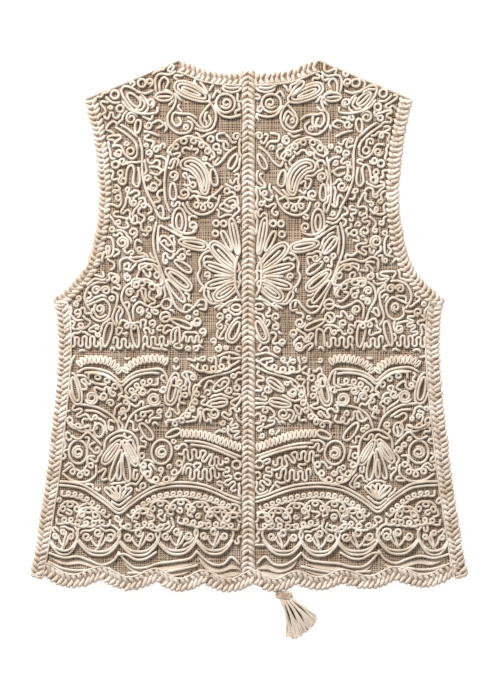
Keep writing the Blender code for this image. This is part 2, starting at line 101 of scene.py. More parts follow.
def cotton(name, light, deep, roughness=0.86, sheen=0.25, ply=None, fuzz=0.5):
    """Matt spun cotton: light where the yarn is clean, deep in soft patches; ply is its twist in mm."""
    made = bpy.data.materials.new(name)
    made.use_nodes = True
    tree = made.node_tree
    tree.nodes.clear()
    place = add(tree, "ShaderNodeTexCoord").outputs["Object"]
    patches = add(tree, "ShaderNodeTexNoise", Vector=place, Scale=60.0, Detail=3.0).outputs["Fac"]
    fleck = add(tree, "ShaderNodeTexNoise", Vector=place, Scale=900.0, Detail=2.0).outputs["Fac"]
    mixed = add(tree, "ShaderNodeMath", {"operation": "MULTIPLY_ADD"}, i0=fleck, i1=0.35, i2=patches)
    ramp = add(tree, "ShaderNodeMapRange", Value=mixed.outputs[0], From_Min=0.5, From_Max=0.85)
    blend = add(tree, "ShaderNodeMix", {"data_type": "RGBA"}, Factor=ramp.outputs[0])
    blend.inputs[6].default_value = linear(deep)
    blend.inputs[7].default_value = linear(light)
    height = add(tree, "ShaderNodeMath", {"operation": "MULTIPLY"}, i0=fleck, i1=fuzz).outputs[0]
    if ply:
        along = add(tree, "ShaderNodeAttribute", {"attribute_name": "along"}).outputs["Fac"]
        around = add(tree, "ShaderNodeAttribute", {"attribute_name": "around"}).outputs["Fac"]
        turns = add(tree, "ShaderNodeMath", {"operation": "MULTIPLY_ADD"}, i0=along, i1=1000 / ply,
                    i2=around).outputs[0]
        phase = add(tree, "ShaderNodeMath", {"operation": "MULTIPLY"}, i0=turns, i1=4 * math.pi)
        strand = add(tree, "ShaderNodeMath", {"operation": "SINE"}, i0=phase.outputs[0]).outputs[0]
        height = add(tree, "ShaderNodeMath", {"operation": "MULTIPLY_ADD"}, i0=strand, i1=0.35,
                     i2=height).outputs[0]
    bump = add(tree, "ShaderNodeBump", Height=height, Strength=0.35, Distance=0.0004)
    shader = add(tree, "ShaderNodeBsdfPrincipled", Base_Color=blend.outputs[2], Roughness=roughness,
                 IOR=1.5, Sheen_Weight=sheen, Normal=bump.outputs[0])
    shader.inputs["Specular IOR Level"].default_value = 0.25
    out = add(tree, "ShaderNodeOutputMaterial", Surface=shader.outputs[0])
    out.target = "ALL"
    return made


def add_mesh(name, points, faces, finish, smooth=True):
    """One named piece at the origin from points in metres."""
    mesh = bpy.data.meshes.new(name)
    mesh.from_pydata([tuple(map(float, p)) for p in points], [], faces)
    mesh.materials.append(finish)
    mesh.polygons.foreach_set("use_smooth", [smooth] * len(mesh.polygons))
    mesh.update()
    made = bpy.data.objects.new(name, mesh)
    bpy.context.scene.collection.objects.link(made)
    return made


def outline_of(node):
    """The plan outline of a CAD panel, read round its flat underside, in mm."""
    mesh = frame["nodes"][node].data
    key = {}
    for v in mesh.vertices:
        p = frame["nodes"][node].matrix_world @ v.co
        key[v.index] = (round(p.x * 1000, 2), round(NECK_Y - p.y * 1000, 2), round(p.z * 1000, 2))
    counts = {}
    for face in mesh.polygons:
        if face.normal.z < -0.9:
            ring = [key[i][:2] for i in face.vertices]
            for a, b in zip(ring, ring[1:] + ring[:1]):
                counts[frozenset((a, b))] = counts.get(frozenset((a, b)), []) + [(a, b)]
    follow = {uses[0][0]: uses[0][1] for uses in counts.values() if len(uses) == 1}
    start = next(iter(follow))
    loop = [start]
    while follow[loop[-1]] != start:
        loop.append(follow[loop[-1]])
    return np.array(loop)


def inside(points, loop):
    """Which plan points lie within a closed outline."""
    x, drop = np.asarray(points, float).T
    hit = np.zeros(len(x), bool)
    for (xa, da), (xb, db) in zip(loop, np.roll(loop, -1, 0)):
        if da != db:
            hit ^= ((da > drop) != (db > drop)) & (x < xa + (xb - xa) * (drop - da) / (db - da))
    return hit


def web(name, loop, level, rides, finish):
    """A thin closed sheet over the outline."""
    across, down = np.arange(-240, 240, WEB_CELL), np.arange(2, 612, WEB_CELL)
    grid = np.stack(np.meshgrid(across, down), -1).reshape(-1, 2)
    grid = grid[inside(grid, loop)]
    places = [Vector(p) for p in (*loop, *grid)]
    rim = [(i, (i + 1) % len(loop)) for i in range(len(loop))]
    made = delaunay_2d_cdt(places, rim, [], 1, 0.01)
    flat = np.array([tuple(p) for p in made[0]])
    rise = level + rides * ripple(flat[:, 0], flat[:, 1])
    upper, lower = (world(flat[:, 0], flat[:, 1], rise + half) for half in (WEB_HALF, -WEB_HALF))
    count = len(flat)
    tops = [tuple(f) if ccw(flat, f) else tuple(f)[::-1] for f in made[2]]
    edges = {}
    for f in tops:
        for a, b in zip(f, f[1:] + f[:1]):
            edges[a, b] = True
    walls = [(b, a, a + count, b + count) for a, b in edges if (b, a) not in edges]
    faces = tops + [tuple(i + count for i in f[::-1]) for f in tops] + walls
    return add_mesh(name, [*upper, *lower], faces, finish)


def ccw(flat, face):
    """Whether a plan face turns anticlockwise seen from above."""
    (xa, da), (xb, db), (xc, dc) = flat[list(face[:3])]
    return (xb - xa) * (da - dc) - (xc - xa) * (da - db) > 0


def new_tree(name, **inputs):
    """An empty Geometry Nodes tree and its inputs; an input is named with _ for a space."""
    tree = bpy.data.node_groups.new(name, "GeometryNodeTree")
    face = tree.interface
    face.new_socket("Geometry", in_out="OUTPUT", socket_type="NodeSocketGeometry")
    for key, kind in inputs.items():
        face.new_socket(key.replace("_", " "), in_out="INPUT", socket_type=f"NodeSocket{kind}")
    return tree, add(tree, "NodeGroupInput").outputs


def tube_tree():
    """Geometry Nodes: sweeps a flattened round section along every line of a wire mesh."""
    tree, given = new_tree("laid cord", Geometry="Geometry", Half_width="Float", Flatness="Float",
                           Sides="Int", Finish="Material")
    lines = add(tree, "GeometryNodeMeshToCurve", Mesh=given["Geometry"]).outputs[0]
    upright = add(tree, "GeometryNodeSetCurveNormal", {"mode": "Z_UP"}, Curve=lines).outputs[0]
    parameter = add(tree, "GeometryNodeSplineParameter").outputs
    marked = add(tree, "GeometryNodeStoreNamedAttribute", {"data_type": "FLOAT", "domain": "POINT"},
                 Geometry=upright, Name="along", Value=parameter["Length"]).outputs[0]
    circle = add(tree, "GeometryNodeCurvePrimitiveCircle", Resolution=given["Sides"],
                 Radius=given["Half width"]).outputs[0]
    squash = add(tree, "ShaderNodeCombineXYZ", X=1.0, Y=given["Flatness"], Z=1.0).outputs[0]
    section = add(tree, "GeometryNodeTransform", Geometry=circle, Scale=squash).outputs[0]
    profile = add(tree, "GeometryNodeStoreNamedAttribute", {"data_type": "FLOAT", "domain": "POINT"},
                  Geometry=section, Name="around", Value=parameter["Factor"]).outputs[0]
    swell = add(tree, "GeometryNodeInputNamedAttribute", {"data_type": "FLOAT"}, Name="swell").outputs
    swept = add(tree, "GeometryNodeCurveToMesh", Curve=marked, Profile_Curve=profile,
                Scale=swell["Attribute"], Fill_Caps=True).outputs[0]
    soft = add(tree, "GeometryNodeSetShadeSmooth", Geometry=swept).outputs[0]
    plain = add(tree, "GeometryNodeRealizeInstances", Geometry=soft).outputs[0]
    done = add(tree, "GeometryNodeSetMaterial", Geometry=plain, Material=given["Finish"]).outputs[0]
    add(tree, "NodeGroupOutput", Geometry=done)
    return tree


def run_tree(name, tree, source, values):
    """The plain mesh that a tree makes of a source mesh."""
    holder = bpy.data.objects.new(name, source)
    bpy.context.scene.collection.objects.link(holder)
    live = holder.modifiers.new("made", "NODES")
    live.node_group = tree
    sockets = {item.name: item.identifier for item in tree.interface.items_tree
               if item.in_out == "INPUT"}
    for key, value in values.items():
        live[sockets[key]] = value
    bpy.context.view_layer.update()
    seen = holder.evaluated_get(bpy.context.evaluated_depsgraph_get())
    mesh = bpy.data.meshes.new_from_object(seen)
    holder.modifiers.clear()
    holder.data = mesh
    mesh.name = name
    return holder


TUBE = tube_tree()


def is_closed(path):
    """Whether a path ends where it starts."""
    return len(path) > 3 and np.linalg.norm(path[0, :2] - path[-1, :2]) < TOUCH


def tubes(name, paths, half_width, finish, flatness=1.0, sides=8, swell=(1.0, 1.0)):
    """Round cord or thread along paths of x, drop and height in mm, swelling along each."""
    points, edges, widths = [], [], []
    for path in paths:
        closed = is_closed(path)
        path = path[:-1] if closed else path
        start, count = sum(map(len, points)), len(path)
        points.append(world(path[:, 0], path[:, 1], path[:, 2]))
        edges += [(start + i, start + i + 1) for i in range(count - 1)]
        edges += [(start + count - 1, start)] if closed else []
        widths.append(np.interp(np.linspace(0, 1, count), np.linspace(0, 1, len(swell)), swell))
    wire = bpy.data.meshes.new(name)
    wire.from_pydata([tuple(map(float, p)) for p in np.concatenate(points)], edges, [])
    wire.attributes.new("swell", "FLOAT", "POINT").data.foreach_set("value", np.concatenate(widths))
    return run_tree(name, TUBE, wire, {"Half width": half_width * 0.001, "Flatness": flatness,
                                       "Sides": sides, "Finish": finish})


def net_lines(loop, level, rides, seed):
    """The net's warps and wefts, cut at the outline."""
    chance = random.Random(seed)
    step = 14 if rides else 30
    low, high = loop.min(0), loop.max(0)
    out = []
    for axis in (0, 1):
        across = 1 - axis
        for k in range(int((high[axis] - low[axis]) / NET_PITCH)):
            at = low[axis] + NET_PITCH * (k + 0.5) + chance.uniform(-NET_HAND, NET_HAND)
            drift, phase = chance.uniform(0.5, 1.5), chance.uniform(0, 6.28)
            ends = []
            for a, b in zip(loop, np.roll(loop, -1, 0)):
                if (a[axis] > at) != (b[axis] > at):
                    slope = (b[across] - a[across]) * (at - a[axis]) / (b[axis] - a[axis])
                    ends.append(a[across] + slope)
            ends.sort()
            for start, stop in zip(ends[::2], ends[1::2]):
                if stop - start < 3:
                    continue
                run = np.linspace(start, stop, max(2, int((stop - start) / step) + 1))
                fixed = at + 0.5 * drift * np.sin(run / 19 + phase) + 0.9 * np.sin(run / 71 + at / 37)
                x, drop = (fixed, run) if axis == 0 else (run, fixed)
                z = level + rides * ripple(x, drop) + (WEFT if axis else WARP)
                out.append(np.stack((x, drop, z), 1))
    return out


net_shade = cotton("ecru cotton net, in shade", "#9A7A60", "#7A5C47", roughness=0.95, sheen=0.0)
net_thread = cotton("ecru cotton net thread", "#DECAB5", "#C0A78F", sheen=0.1)

# Columns: panel, node, height of its web and of its net, share of the ripple it rides, seed.
PANELS = (("left", "back_panel_left", BACK_SHADE, BACK_NET, 1.0, 4),
          ("right", "back_panel_right", BACK_SHADE, BACK_NET, 1.0, 5),
          ("front", "front_panel", FRONT_SHADE, FRONT_NET, 0.0, 5))
loops, shades, nets = {}, {}, {}
for word, name, shade_level, net_level, rides, seed in PANELS:
    loops[word] = outline_of(name)
    shades[word] = web(f"{name}_web", loops[word], shade_level, rides, net_shade)
    lines = net_lines(loops[word], net_level, rides, seed)
    nets[word] = tubes(f"{name}_net", lines, NET_THREAD, net_thread, flatness=0.8, sides=4)
    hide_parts(name)
    for piece in (shades[word], nets[word]):
        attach(piece, "root")

# ---------------------------------------------------------------- Laid cord
# Round ecru cotton cord, 3.2 mm thick, is bent by hand into leaves, scrolls and rings and sewn down
# on the net. The large motifs are drawn first, the same on both halves but for the hand's small
# drifts. A filling of small curls then takes up the rest, with strips of net left bare.
CORD = 1.62  # mm, half width
CORD_STEP = 1.6  # mm between a motif's points
STRING_STEP = 1.15  # mm between the points of a cord of the filling
CORD_LEVEL = 6.1  # mm, height of the cord's middle
CLIMB, CLIMB_REACH = 1.7, 4.6  # mm, how far a cord lifts over another, and from how far off
END_DIP = 1.3  # mm, how far a cord's cut end is tucked down
ROOM = 3.55  # mm from cord to cord, middle to middle
TUCKED = 2.6  # mm, a cord's end this near to another cord is under it
COIL = 3.6  # mm, an end this near to its own cord is inside its coil
RIM = 2.4  # mm, least room that a drawn cord has at the panel's edge
GAP = 4.5  # mm, half width of the gaps that the last cords are led along
FAR = 16  # mm, ground further than this from every cord is left alone
PAINTED_SHADOW_HALF, PAINTED_SHADOW_LEVEL = CORD + 0.34, BACK_NET + 0.85  # mm, half width and height of the painted shadow strip under each cord
INSET = (5, 4, 7.6)  # mm, how much less a leaf's inner loop has at its tail, its tip and in width
LEAD = np.array((-0.4, -0.2, 0, 0.2, 0.4))  # radians, the turns offered to an end that is led on
THREAD = np.linspace(-0.5, 0.5, 7)  # radians, those offered to a cord along a gap
LEAD_STEPS, THREAD_STEPS = 5, 12  # the most steps of each
SLIGHT = 0.12  # radians, turn of the nearly straight run before a hairpin


def route(*points):
    """A smooth open run through the points."""
    points = [np.array(p, float) for p in points]
    ends = [points[0], *points, points[-1]]
    out = []
    for before, start, stop, after in zip(ends, ends[1:], ends[2:], ends[3:]):
        count = max(1, round(float(np.linalg.norm(stop - start)) / CORD_STEP))
        for i in range(count):
            t = i / count
            out.append(0.5 * (2 * start + (stop - before) * t
                              + (2 * before - 5 * start + 4 * stop - after) * t * t
                              + (3 * start - before - 3 * stop + after) * t ** 3))
    return np.array([*out, points[-1]])


def leaf(tail, tip, width):
    """A closed loop, narrow at its tail and blunt at its tip."""
    tail, tip = np.array(tail, float), np.array(tip, float)
    axis = tip - tail
    across = np.array((-axis[1], axis[0])) / np.linalg.norm(axis) * width / 2
    turn = np.linspace(0, 2 * math.pi, max(12, int((2 * np.linalg.norm(axis) + width) / CORD_STEP)) + 1)
    along = 0.5 - 0.5 * np.cos(turn)
    swell = np.sign(np.sin(turn)) * np.abs(np.sin(turn)) ** 0.8
    return tail + along[:, None] * axis + (swell * (0.7 + 0.3 * along))[:, None] * across


def double_leaf(tail, tip, width):
    """A leaf with a second one inside it."""
    tail, tip = np.array(tail, float), np.array(tip, float)
    way = (tip - tail) / np.linalg.norm(tip - tail)
    return [leaf(tail, tip, width), leaf(tail + INSET[0] * way, tip - INSET[1] * way, width - INSET[2])]


def ribbed_leaf(tail, tip, width):
    """A leaf with one cord up its middle."""
    tail, tip = np.array(tail, float), np.array(tip, float)
    way = (tip - tail) / np.linalg.norm(tip - tail)
    return [leaf(tail, tip, width), route(tail + 2 * way, tip - 5 * way)]


def comma(spine, width):
    """A bowed leaf round a spine, full at its head, as one closed cord inside another and a rib."""
    out = []
    # Columns: width, shares of the spine where the loop starts and stops.
    for size, near, far in ((width, 0.0, 1.0), (width - 7.2, 0.09, 0.93)):
        turn = np.linspace(0, 2 * math.pi, int(2.4 * len(spine)) + 12)
        share = near + (far - near) * (0.5 - 0.5 * np.cos(turn))
        spot, way, _ = along_path(spine, share)
        half = size / 2 * np.sign(np.sin(turn)) * np.abs(np.sin(turn)) ** 0.7 * (1.12 - 0.36 * share)
        out.append(spot + np.stack((-way[:, 1], way[:, 0]), 1) * half[:, None])
    return [*out, along_path(spine, np.linspace(0.2, 0.84, 16))[0]]


def ring(x, drop, across, down=None):
    """A closed round or oval loop."""
    down = down or across
    turn = np.linspace(0, 2 * math.pi, max(9, int(math.pi * (across + down) / CORD_STEP)) + 1)
    return np.stack((x + across * np.cos(turn), drop + down * np.sin(turn)), 1)


def rings(*rows):
    """Several rings; the columns are x, drop, half width and, for an oval, half drop."""
    return [ring(*row) for row in rows]


def curl(x, drop, radius, start, turn, shrink=0.3):
    """A scroll that winds inwards from the start angle, in degrees, by the turn."""
    count = max(8, int(abs(math.radians(turn)) * radius * 0.75 / CORD_STEP))
    share = np.linspace(0, 1, count + 1)
    angle = np.radians(start + turn * share)
    size = radius * (1 - (1 - shrink) * share)
    return np.stack((x + size * np.cos(angle), drop + size * np.sin(angle)), 1)


def curls(*rows):
    """Several scrolls; the columns are x, drop, radius, start and turn."""
    return [curl(*row) for row in rows]


def along_path(path, places):
    """Points and directions at the given shares of a path's length."""
    run = np.concatenate(([0], np.cumsum(np.linalg.norm(np.diff(path, axis=0), axis=1))))
    at = np.clip(places, 0, 1) * run[-1]
    spot = np.stack([np.interp(at, run, path[:, k]) for k in (0, 1)], 1)
    mid = np.clip(at, 0.6, run[-1] - 0.6)
    way = np.stack([np.interp(mid + 0.6, run, path[:, k]) - np.interp(mid - 0.6, run, path[:, k])
                    for k in (0, 1)], 1)
    return spot, way / np.maximum(np.linalg.norm(way, axis=1, keepdims=True), 1e-6), run[-1]


def length_of(path):
    """A path's length in mm."""
    return along_path(path, np.array([0.0]))[2]


def looped(path, size, pitch, side=1):
    """A cord that runs along a path in small loops, all on one side."""
    count = max(1, round(length_of(path) / pitch))
    s = np.linspace(0, count, int(count * 2 * math.pi * size / CORD_STEP) + 1)
    spot, way, _ = along_path(path, (s - size / pitch * np.sin(2 * math.pi * s)) / count)
    lift = side * size * 0.72 * (1 - np.cos(2 * math.pi * s))
    return spot + np.stack((-way[:, 1], way[:, 0]), 1) * lift[:, None]


def clover(x, drop, reach, side=1):
    """A small arch of cord with three loops standing on it."""
    arch = route((x - reach, drop + reach), (x - 0.5 * reach, drop - 0.2 * reach),
                 (x + 0.5 * reach, drop - 0.2 * reach), (x + reach, drop + reach))
    return looped(arch, 4.6, 0.95 * reach, side)


def sprig(x, drop, half):
    """Three curls that grow from one foot."""
    foot, radius = np.array((x, drop + 17)), 0.22 * half
    out = []
    for side, reach, rise in ((-1, 0.55 * half, 5), (1, 0.55 * half, 5), (1, 0, 0)):
        bud = curl(x + side * reach, drop + rise, radius, 90 + 90 * side, -side * 460)
        stem = route(foot, (foot + bud[0]) / 2 + (side * 0.8, 2.0), bud[0] + (0, 2.5))
        out.append(np.concatenate((stem, bud)))
    return out


def meander(path, depth, pitch):
    """A cord that swings to and fro across a path, its bends wider than its necks."""
    count = max(1, round(length_of(path) / pitch))
    s = np.linspace(0, count, int(count * 2.5 * depth / CORD_STEP) + 1)
    spot, way, _ = along_path(path, (s - 0.12 * np.sin(4 * math.pi * s)) / count)
    swing = depth / 2 * np.sin(2 * math.pi * s) * (0.88 + 0.16 * np.sin(2.3 * s + depth))
    return spot + np.stack((-way[:, 1], way[:, 0]), 1) * swing[:, None]


def yoke():
    """Leaves, a scroll and a roundel between the neck and the shoulder."""
    return [
        *double_leaf((46, 47), (86, 30), 20), leaf((57, 43), (78, 34), 5), leaf((49, 41), (63, 25), 7),
        route((97, 35), (89, 40), (85, 47), (88, 56), (94, 65), (92, 77), (82, 85), (70, 84), (66, 76),
              (71, 71)),
        route((61, 69), (68, 64), (80, 63), (87, 62), (89, 70), (84, 77), (79, 73), (82, 67)),
        route((47, 49), (40, 58), (38, 69), (43, 80), (53, 83), (63, 80)),
        route((45, 52), (54, 62), (57, 71), (51, 79), (44, 73), (47, 65)), ring(27, 51, 11, 10.5),
        curl(26, 51, 6.4, 30, 480), route((40, 54), (33, 64), (22, 67), (10, 64)),
        ring(20, 33, 10.5, 5.4), route((46, 37), (41, 30), (34, 28)),
        route((42, 45), (37, 37), (32, 41)), route((84, 13), (91, 18), (103, 17), (108, 24), (107, 37)),
        route((103, 37), (103, 27), (98, 21), (93, 26), (96, 33)), ring(98, 43, 10, 5),
        leaf((147, 32), (119, 59), 22), leaf((141, 39), (127, 53), 11),
        route((147, 48), (139, 57), (124, 62), (107, 61), (106, 55)),
        *rings((156, 40, 4.6), (124, 27, 4.6), (150, 56, 4)),
        *curls((115, 26, 5, 90, 430), (114, 50, 5.2, 90, 500), (137, 67, 7, 200, 520),
               (116, 75, 4.8, 0, 430)), route((166, 43), (159, 49), (151, 49)),
        route((130, 37), (120, 39), (112, 36)), route((112, 73), (104, 70), (99, 75), (106, 79)),
        route((121, 82), (112, 84), (103, 88)), leaf((130, 84), (128, 69), 8),
    ]


def shoulder_stem():
    """The long stem that falls from the shoulder, with its curls."""
    return [
        route((155, 77), (145, 83), (134, 92), (128, 101)), route((149, 74), (139, 80), (129, 89)),
        route((158, 99), (149, 99), (143, 109), (135, 114), (129, 109), (130, 97)), ring(137, 105, 4),
        route((127, 90), (123, 105), (122, 132), (117, 152), (109, 168), (101, 183), (91, 183)),
        route((118, 148), (113, 160), (106, 172)),
        route((142, 141), (140, 126), (135, 122), (132, 128), (133, 142), (128, 147), (125, 140),
              (127, 125)),
        *curls((151, 107, 5, 0, 480), (146, 117, 4.8, 180, -430), (145, 140, 5.6, 270, 500),
               (115, 108, 4.6, 90, 430), (106, 104, 4.6, 180, 400), (109, 147, 6, 0, 480),
               (116, 138, 4.2, 180, 400)),
        route((107, 112), (99, 113), (94, 119), (97, 129), (105, 125), (113, 124)),
        route((112, 131), (104, 134), (99, 129)), ring(154, 121, 4), ring(148, 131, 3),
    ]


def paisley():
    """A curled drop in a rim of small curls, with its foot of spirals."""
    return [
        route((90, 177), (95, 162), (96, 140), (92, 112), (85, 98), (74, 91), (62, 93), (51, 101),
              (43, 111), (38, 123), (30, 118), (23, 108), (14, 101)),
        *comma(route((78, 124), (67, 122), (57, 129), (51, 141), (50, 157)), 16.5),
        route((71, 165), (67, 174), (56, 180), (43, 177), (35, 168), (32, 158)),
        route((91, 122), (87, 116), (81, 117), (82, 124)), leaf((87, 144), (86, 163), 8.5),
        route((59, 159), (47, 161), (37, 156), (29, 148)), leaf((41, 128), (37, 147), 9.5),
        leaf((13, 110), (21, 127), 8.5),
        looped(route((88, 111), (81, 102), (72, 97), (61, 99), (51, 107), (44, 117)), 5.4, 10.5),
        looped(route((68, 162), (60, 173), (50, 175), (41, 171), (36, 162)), 5.4, 10.5),
        *curls((86, 135, 5.8, 90, 480), (74, 156, 6.4, 60, 450), (14, 89, 4.8, 180, 430),
               (65, 193, 5.6, 90, 430)), route((27, 85), (36, 87), (35, 94), (26, 95), (22, 101)),
        ring(80, 188, 7.6, 15.5), ring(80, 188, 3.4, 9),
    ]


def side_leaves():
    """Stems, leaves and a spiral below the paisley and the armhole."""
    return [
        route((101, 192), (90, 198), (77, 206), (62, 207)),
        route((91, 191), (82, 199), (71, 202), (61, 199)), *double_leaf((81, 211), (48, 218), 14),
        route((106, 188), (110, 205), (109, 222), (104, 238), (98, 255), (91, 272), (83, 288),
              (73, 293), (64, 287), (57, 279), (50, 281), (50, 290), (57, 289)),
        route((103, 192), (105, 208), (104, 224)), leaf((87, 223), (101, 205), 12),
        leaf((86, 234), (68, 247), 9), *double_leaf((96, 244), (68, 267), 15),
        leaf((95, 256), (75, 281), 8),
        route((150, 244), (150, 233), (142, 229), (132, 234), (119, 231), (107, 235)),
        route((131, 253), (125, 242), (114, 239), (105, 248), (101, 263), (104, 276)),
        *curls((147, 211, 7.6, 90, 600), (141, 252, 4.8, 270, 430), (131, 260, 4.4, 0, 430),
               (78, 229, 4.8, 0, 430), (134, 199, 6, 90, 450)),
        route((167, 205), (160, 205), (157, 214), (159, 226), (167, 229)),
        *rings((95, 283, 5.6), (96, 298, 5.6)),
    ]


def palmette():
    """Half of the open flower on the centre braid: a round lobe of leaves, and thin ones beyond."""
    return [
        route((44, 222), (53, 226), (58, 235), (57, 244), (60, 251), (57, 260), (52, 266), (52, 274),
              (44, 283), (33, 282), (24, 285), (14, 275)), *double_leaf((12, 245), (44, 213), 19),
        route((18, 240), (36, 221)), *ribbed_leaf((17, 249), (52, 238), 10.5),
        *ribbed_leaf((17, 255), (50, 264), 10.5), curl(49, 251, 4.4, 90, 430),
        route((19, 252), (40, 251.5)), *double_leaf((12, 259), (40, 278), 16.5),
        route((20, 264), (33, 273)), route((10, 222), (15, 236), (16, 251), (15, 264), (10, 275)),
        *ribbed_leaf((12, 226), (19, 184), 9.5), leaf((20, 222), (30, 199), 7),
        route((9, 278), (21, 280), (35, 290)), ring(14, 287, 5, 3.4),
        *double_leaf((9, 299), (21, 328), 17),
        *curls((33, 298, 5, 90, 430), (32, 309, 4.6, 270, 430), (40, 327, 4.2, 90, 430),
               (34, 336, 4.4, 270, -430)), *rings((37, 190, 3.4), (28, 190, 3.4), (38, 202, 3.4)),
        route((9, 343), (22, 340), (34, 345)),
    ]


def vases():
    """Two scrolls back to back that open upwards, on a row of close bends."""
    return [
        route((184, 289), (190, 277), (186, 264), (176, 258), (166, 258)),
        route((160, 268), (153, 272), (154, 284), (158, 298), (153, 308)),
        route((186, 284), (177, 280), (168, 277), (161, 285), (163, 297), (172, 302), (181, 297),
              (181, 288)),
        route((136, 304), (141, 290), (148, 277), (145, 264), (134, 257), (120, 257), (108, 263),
              (103, 275)),
        route((133, 300), (134, 287), (127, 280), (119, 284), (110, 287), (101, 284)),
        *curls((166, 267, 5.2, 0, -480), (177, 267, 5.2, 180, 480), (172, 288, 5.4, 90, 500),
               (139, 269, 5, 180, 480), (126, 290, 5.2, 90, 500), (111, 305, 4.8, 90, 430),
               (60, 304, 6, 0, 500), (53, 316, 5, 90, 430), (198, 293, 5, 90, 430)),
        looped(route((136, 262), (122, 262), (112, 267), (107, 275)), 5.5, 10.8),
        looped(route((127, 245), (114, 244), (109, 251), (106, 262)), 5.4, 10.5),
        leaf((166, 332), (160, 304), 9), leaf((128, 333), (133, 304), 10),
        leaf((89, 301), (66, 311), 8), looped(route((150, 306), (138, 311), (124, 310)), 5.0, 9.9),
        route((89, 331), (88, 315), (81, 311), (79, 320), (79, 330)),
        meander(route((209, 327), (173, 327)), 14, 9.6),
        meander(route((156, 328), (137, 328)), 14, 9.6), meander(route((121, 327), (92, 326)), 13, 9.4),
    ]


def cartouche():
    """A heart of small spirals under the ribbed arcs, with garlands towards the centre."""
    return [
        route((197, 363), (188, 358), (176, 358), (163, 361), (154, 367), (147, 373), (138, 366),
              (127, 361), (112, 359), (101, 359), (95, 365), (93, 373)),
        route((188, 363), (176, 362), (164, 365), (155, 371), (147, 377), (138, 370), (127, 365),
              (113, 363), (103, 364)), *double_leaf((204, 364), (197, 399), 16),
        *double_leaf((83, 364), (92, 400), 16),
        route((194, 399), (178, 401), (165, 407), (155, 416), (150, 429)),
        route((100, 400), (116, 401), (130, 406), (139, 415), (144, 427)),
        route((188, 406), (176, 407), (165, 414)), curl(181, 391, 7.6, 20, 700),
        curl(109, 393, 7.8, 160, -700),
        looped(route((184, 370), (170, 371), (158, 378), (151, 388)), 4.8, 9.6),
        looped(route((104, 370), (120, 371), (133, 377), (143, 388)), 4.8, 9.6),
        looped(route((151, 393), (143, 399), (151, 406), (147, 416)), 4.2, 9.0),
        *curls((168, 389, 5, 0, 480), (132, 391, 5, 180, 480), (122, 384, 4.6, 0, 500),
               (160, 397, 4.6, 0, -430), (98, 382, 4.4, 0, 430)),
        route((66, 355), (58, 361), (45, 363), (30, 361), (18, 355), (9, 349)),
        route((9, 357), (22, 363), (38, 367), (52, 372), (60, 382), (63, 396), (69, 411), (82, 417),
              (97, 420)),
        looped(route((56, 379), (59, 395), (65, 409), (80, 423), (95, 425)), 5.0, 9.9, -1),
        leaf((40, 384), (22, 371), 11), looped(route((58, 354), (40, 357), (22, 351)), 5.0, 9.9, -1),
        leaf((48, 400), (24, 396), 11), *curls((40, 410, 7, 0, 500), (22, 383, 4.6, 0, 430)),
        looped(route((88, 371), (76, 374), (71, 386), (74, 399)), 5.1, 10.1, -1),
        looped(route((208, 407), (204, 418), (190, 424), (178, 420)), 5.0, 9.9, -1),
        route((206, 422), (196, 427), (184, 424)),
    ]


def lily():
    """A drooping fan of leaves under an arch, with a round medallion on each side."""
    out = []
    for x, half, tall in ((198, 11, 13.5), (101, 11.5, 14)):
        out += [ring(x, 455, half, tall), curl(x, 456, 7.2, 250, 620, 0.3)]
    return out + [
        route((168, 452), (166, 440), (157, 432), (147, 429), (137, 432), (130, 441), (128, 454),
              (127, 466)), leaf((126, 421), (112, 440), 11), ring(174, 429, 5.5, 8),
        route((207, 436), (197, 440), (187, 432), (180, 437), (171, 447)),
        *double_leaf((150, 441), (169, 468), 12), *double_leaf((146, 441), (130, 470), 11),
        leaf((149, 452), (160, 487), 8), leaf((145, 456), (140, 488), 9),
        leaf((150, 465), (151, 486), 5.5),
        *[leaf((151, 509), (151 + reach, 495 - 0.2 * (12 - abs(reach))), 6)
          for reach in (-15, -8, 0, 8, 15)],
        route((177, 470), (177, 481), (188, 489), (204, 488), (216, 480)),
        route((122, 470), (119, 481), (109, 489), (94, 490), (86, 482)),
        looped(route((213, 472), (203, 482), (190, 484), (181, 474), (179, 460)), 5.2, 10.3),
        looped(route((120, 449), (121, 464), (113, 480), (98, 485), (86, 474),
                     (82, 458)), 5.2, 10.3, -1), leaf((96, 437), (80, 430), 9),
        route((75, 443), (59, 444), (43, 448), (27, 454), (9, 461)),
        route((68, 447.5), (50, 450), (34, 455), (14, 463)),
        meander(route((76, 460), (56, 459), (44, 466), (30, 466)), 13, 10),
        meander(route((73, 481), (52, 482), (34, 480)), 14, 10.4),
        meander(route((26, 474), (23, 488), (14, 498)), 10, 9), ring(14, 470, 4.6), ring(12, 483, 3.6),
    ]


def swags():
    """The long double swags over the border, edged with a row of tiny loops."""
    upper = route((221, 489), (204, 490), (190, 493), (178, 500), (165, 509), (150, 520), (137, 511),
                  (124, 502), (108, 494), (90, 490.5), (72, 490.5), (54, 493), (38, 498), (24, 504),
                  (9, 509))
    close = np.array((0, 3.5))
    return [
        upper, upper + np.array((0, 4.4)),
        looped(route((216, 504), (200, 505), (186, 510), (172, 520), (160, 530)), 3.7, 7.6, -1) - close,
        looped(route((140, 530), (128, 520), (110, 509), (90, 505), (72, 505), (54, 508), (36, 513),
                     (14, 522)), 3.7, 7.6, -1) - close,
    ]


def link(middle, half):
    """A ring of the border's chain, open at its top, and the arc below it."""
    # Columns: share of the half width, what is added to it in mm, drop.
    opened = ((0.45, 0, 538), (0.8, 0, 541), (1, 1, 550), (0.8, 0, 561), (0.35, 0, 569))
    below = ((1, 0, 557), (0.7, 0, 567), (0.3, 0, 573.5))
    return [route(*[(middle - share * half - more, drop) for share, more, drop in rows],
                  *[(middle + share * half + more, drop) for share, more, drop in rows[::-1]])
            for rows in (opened, below)]


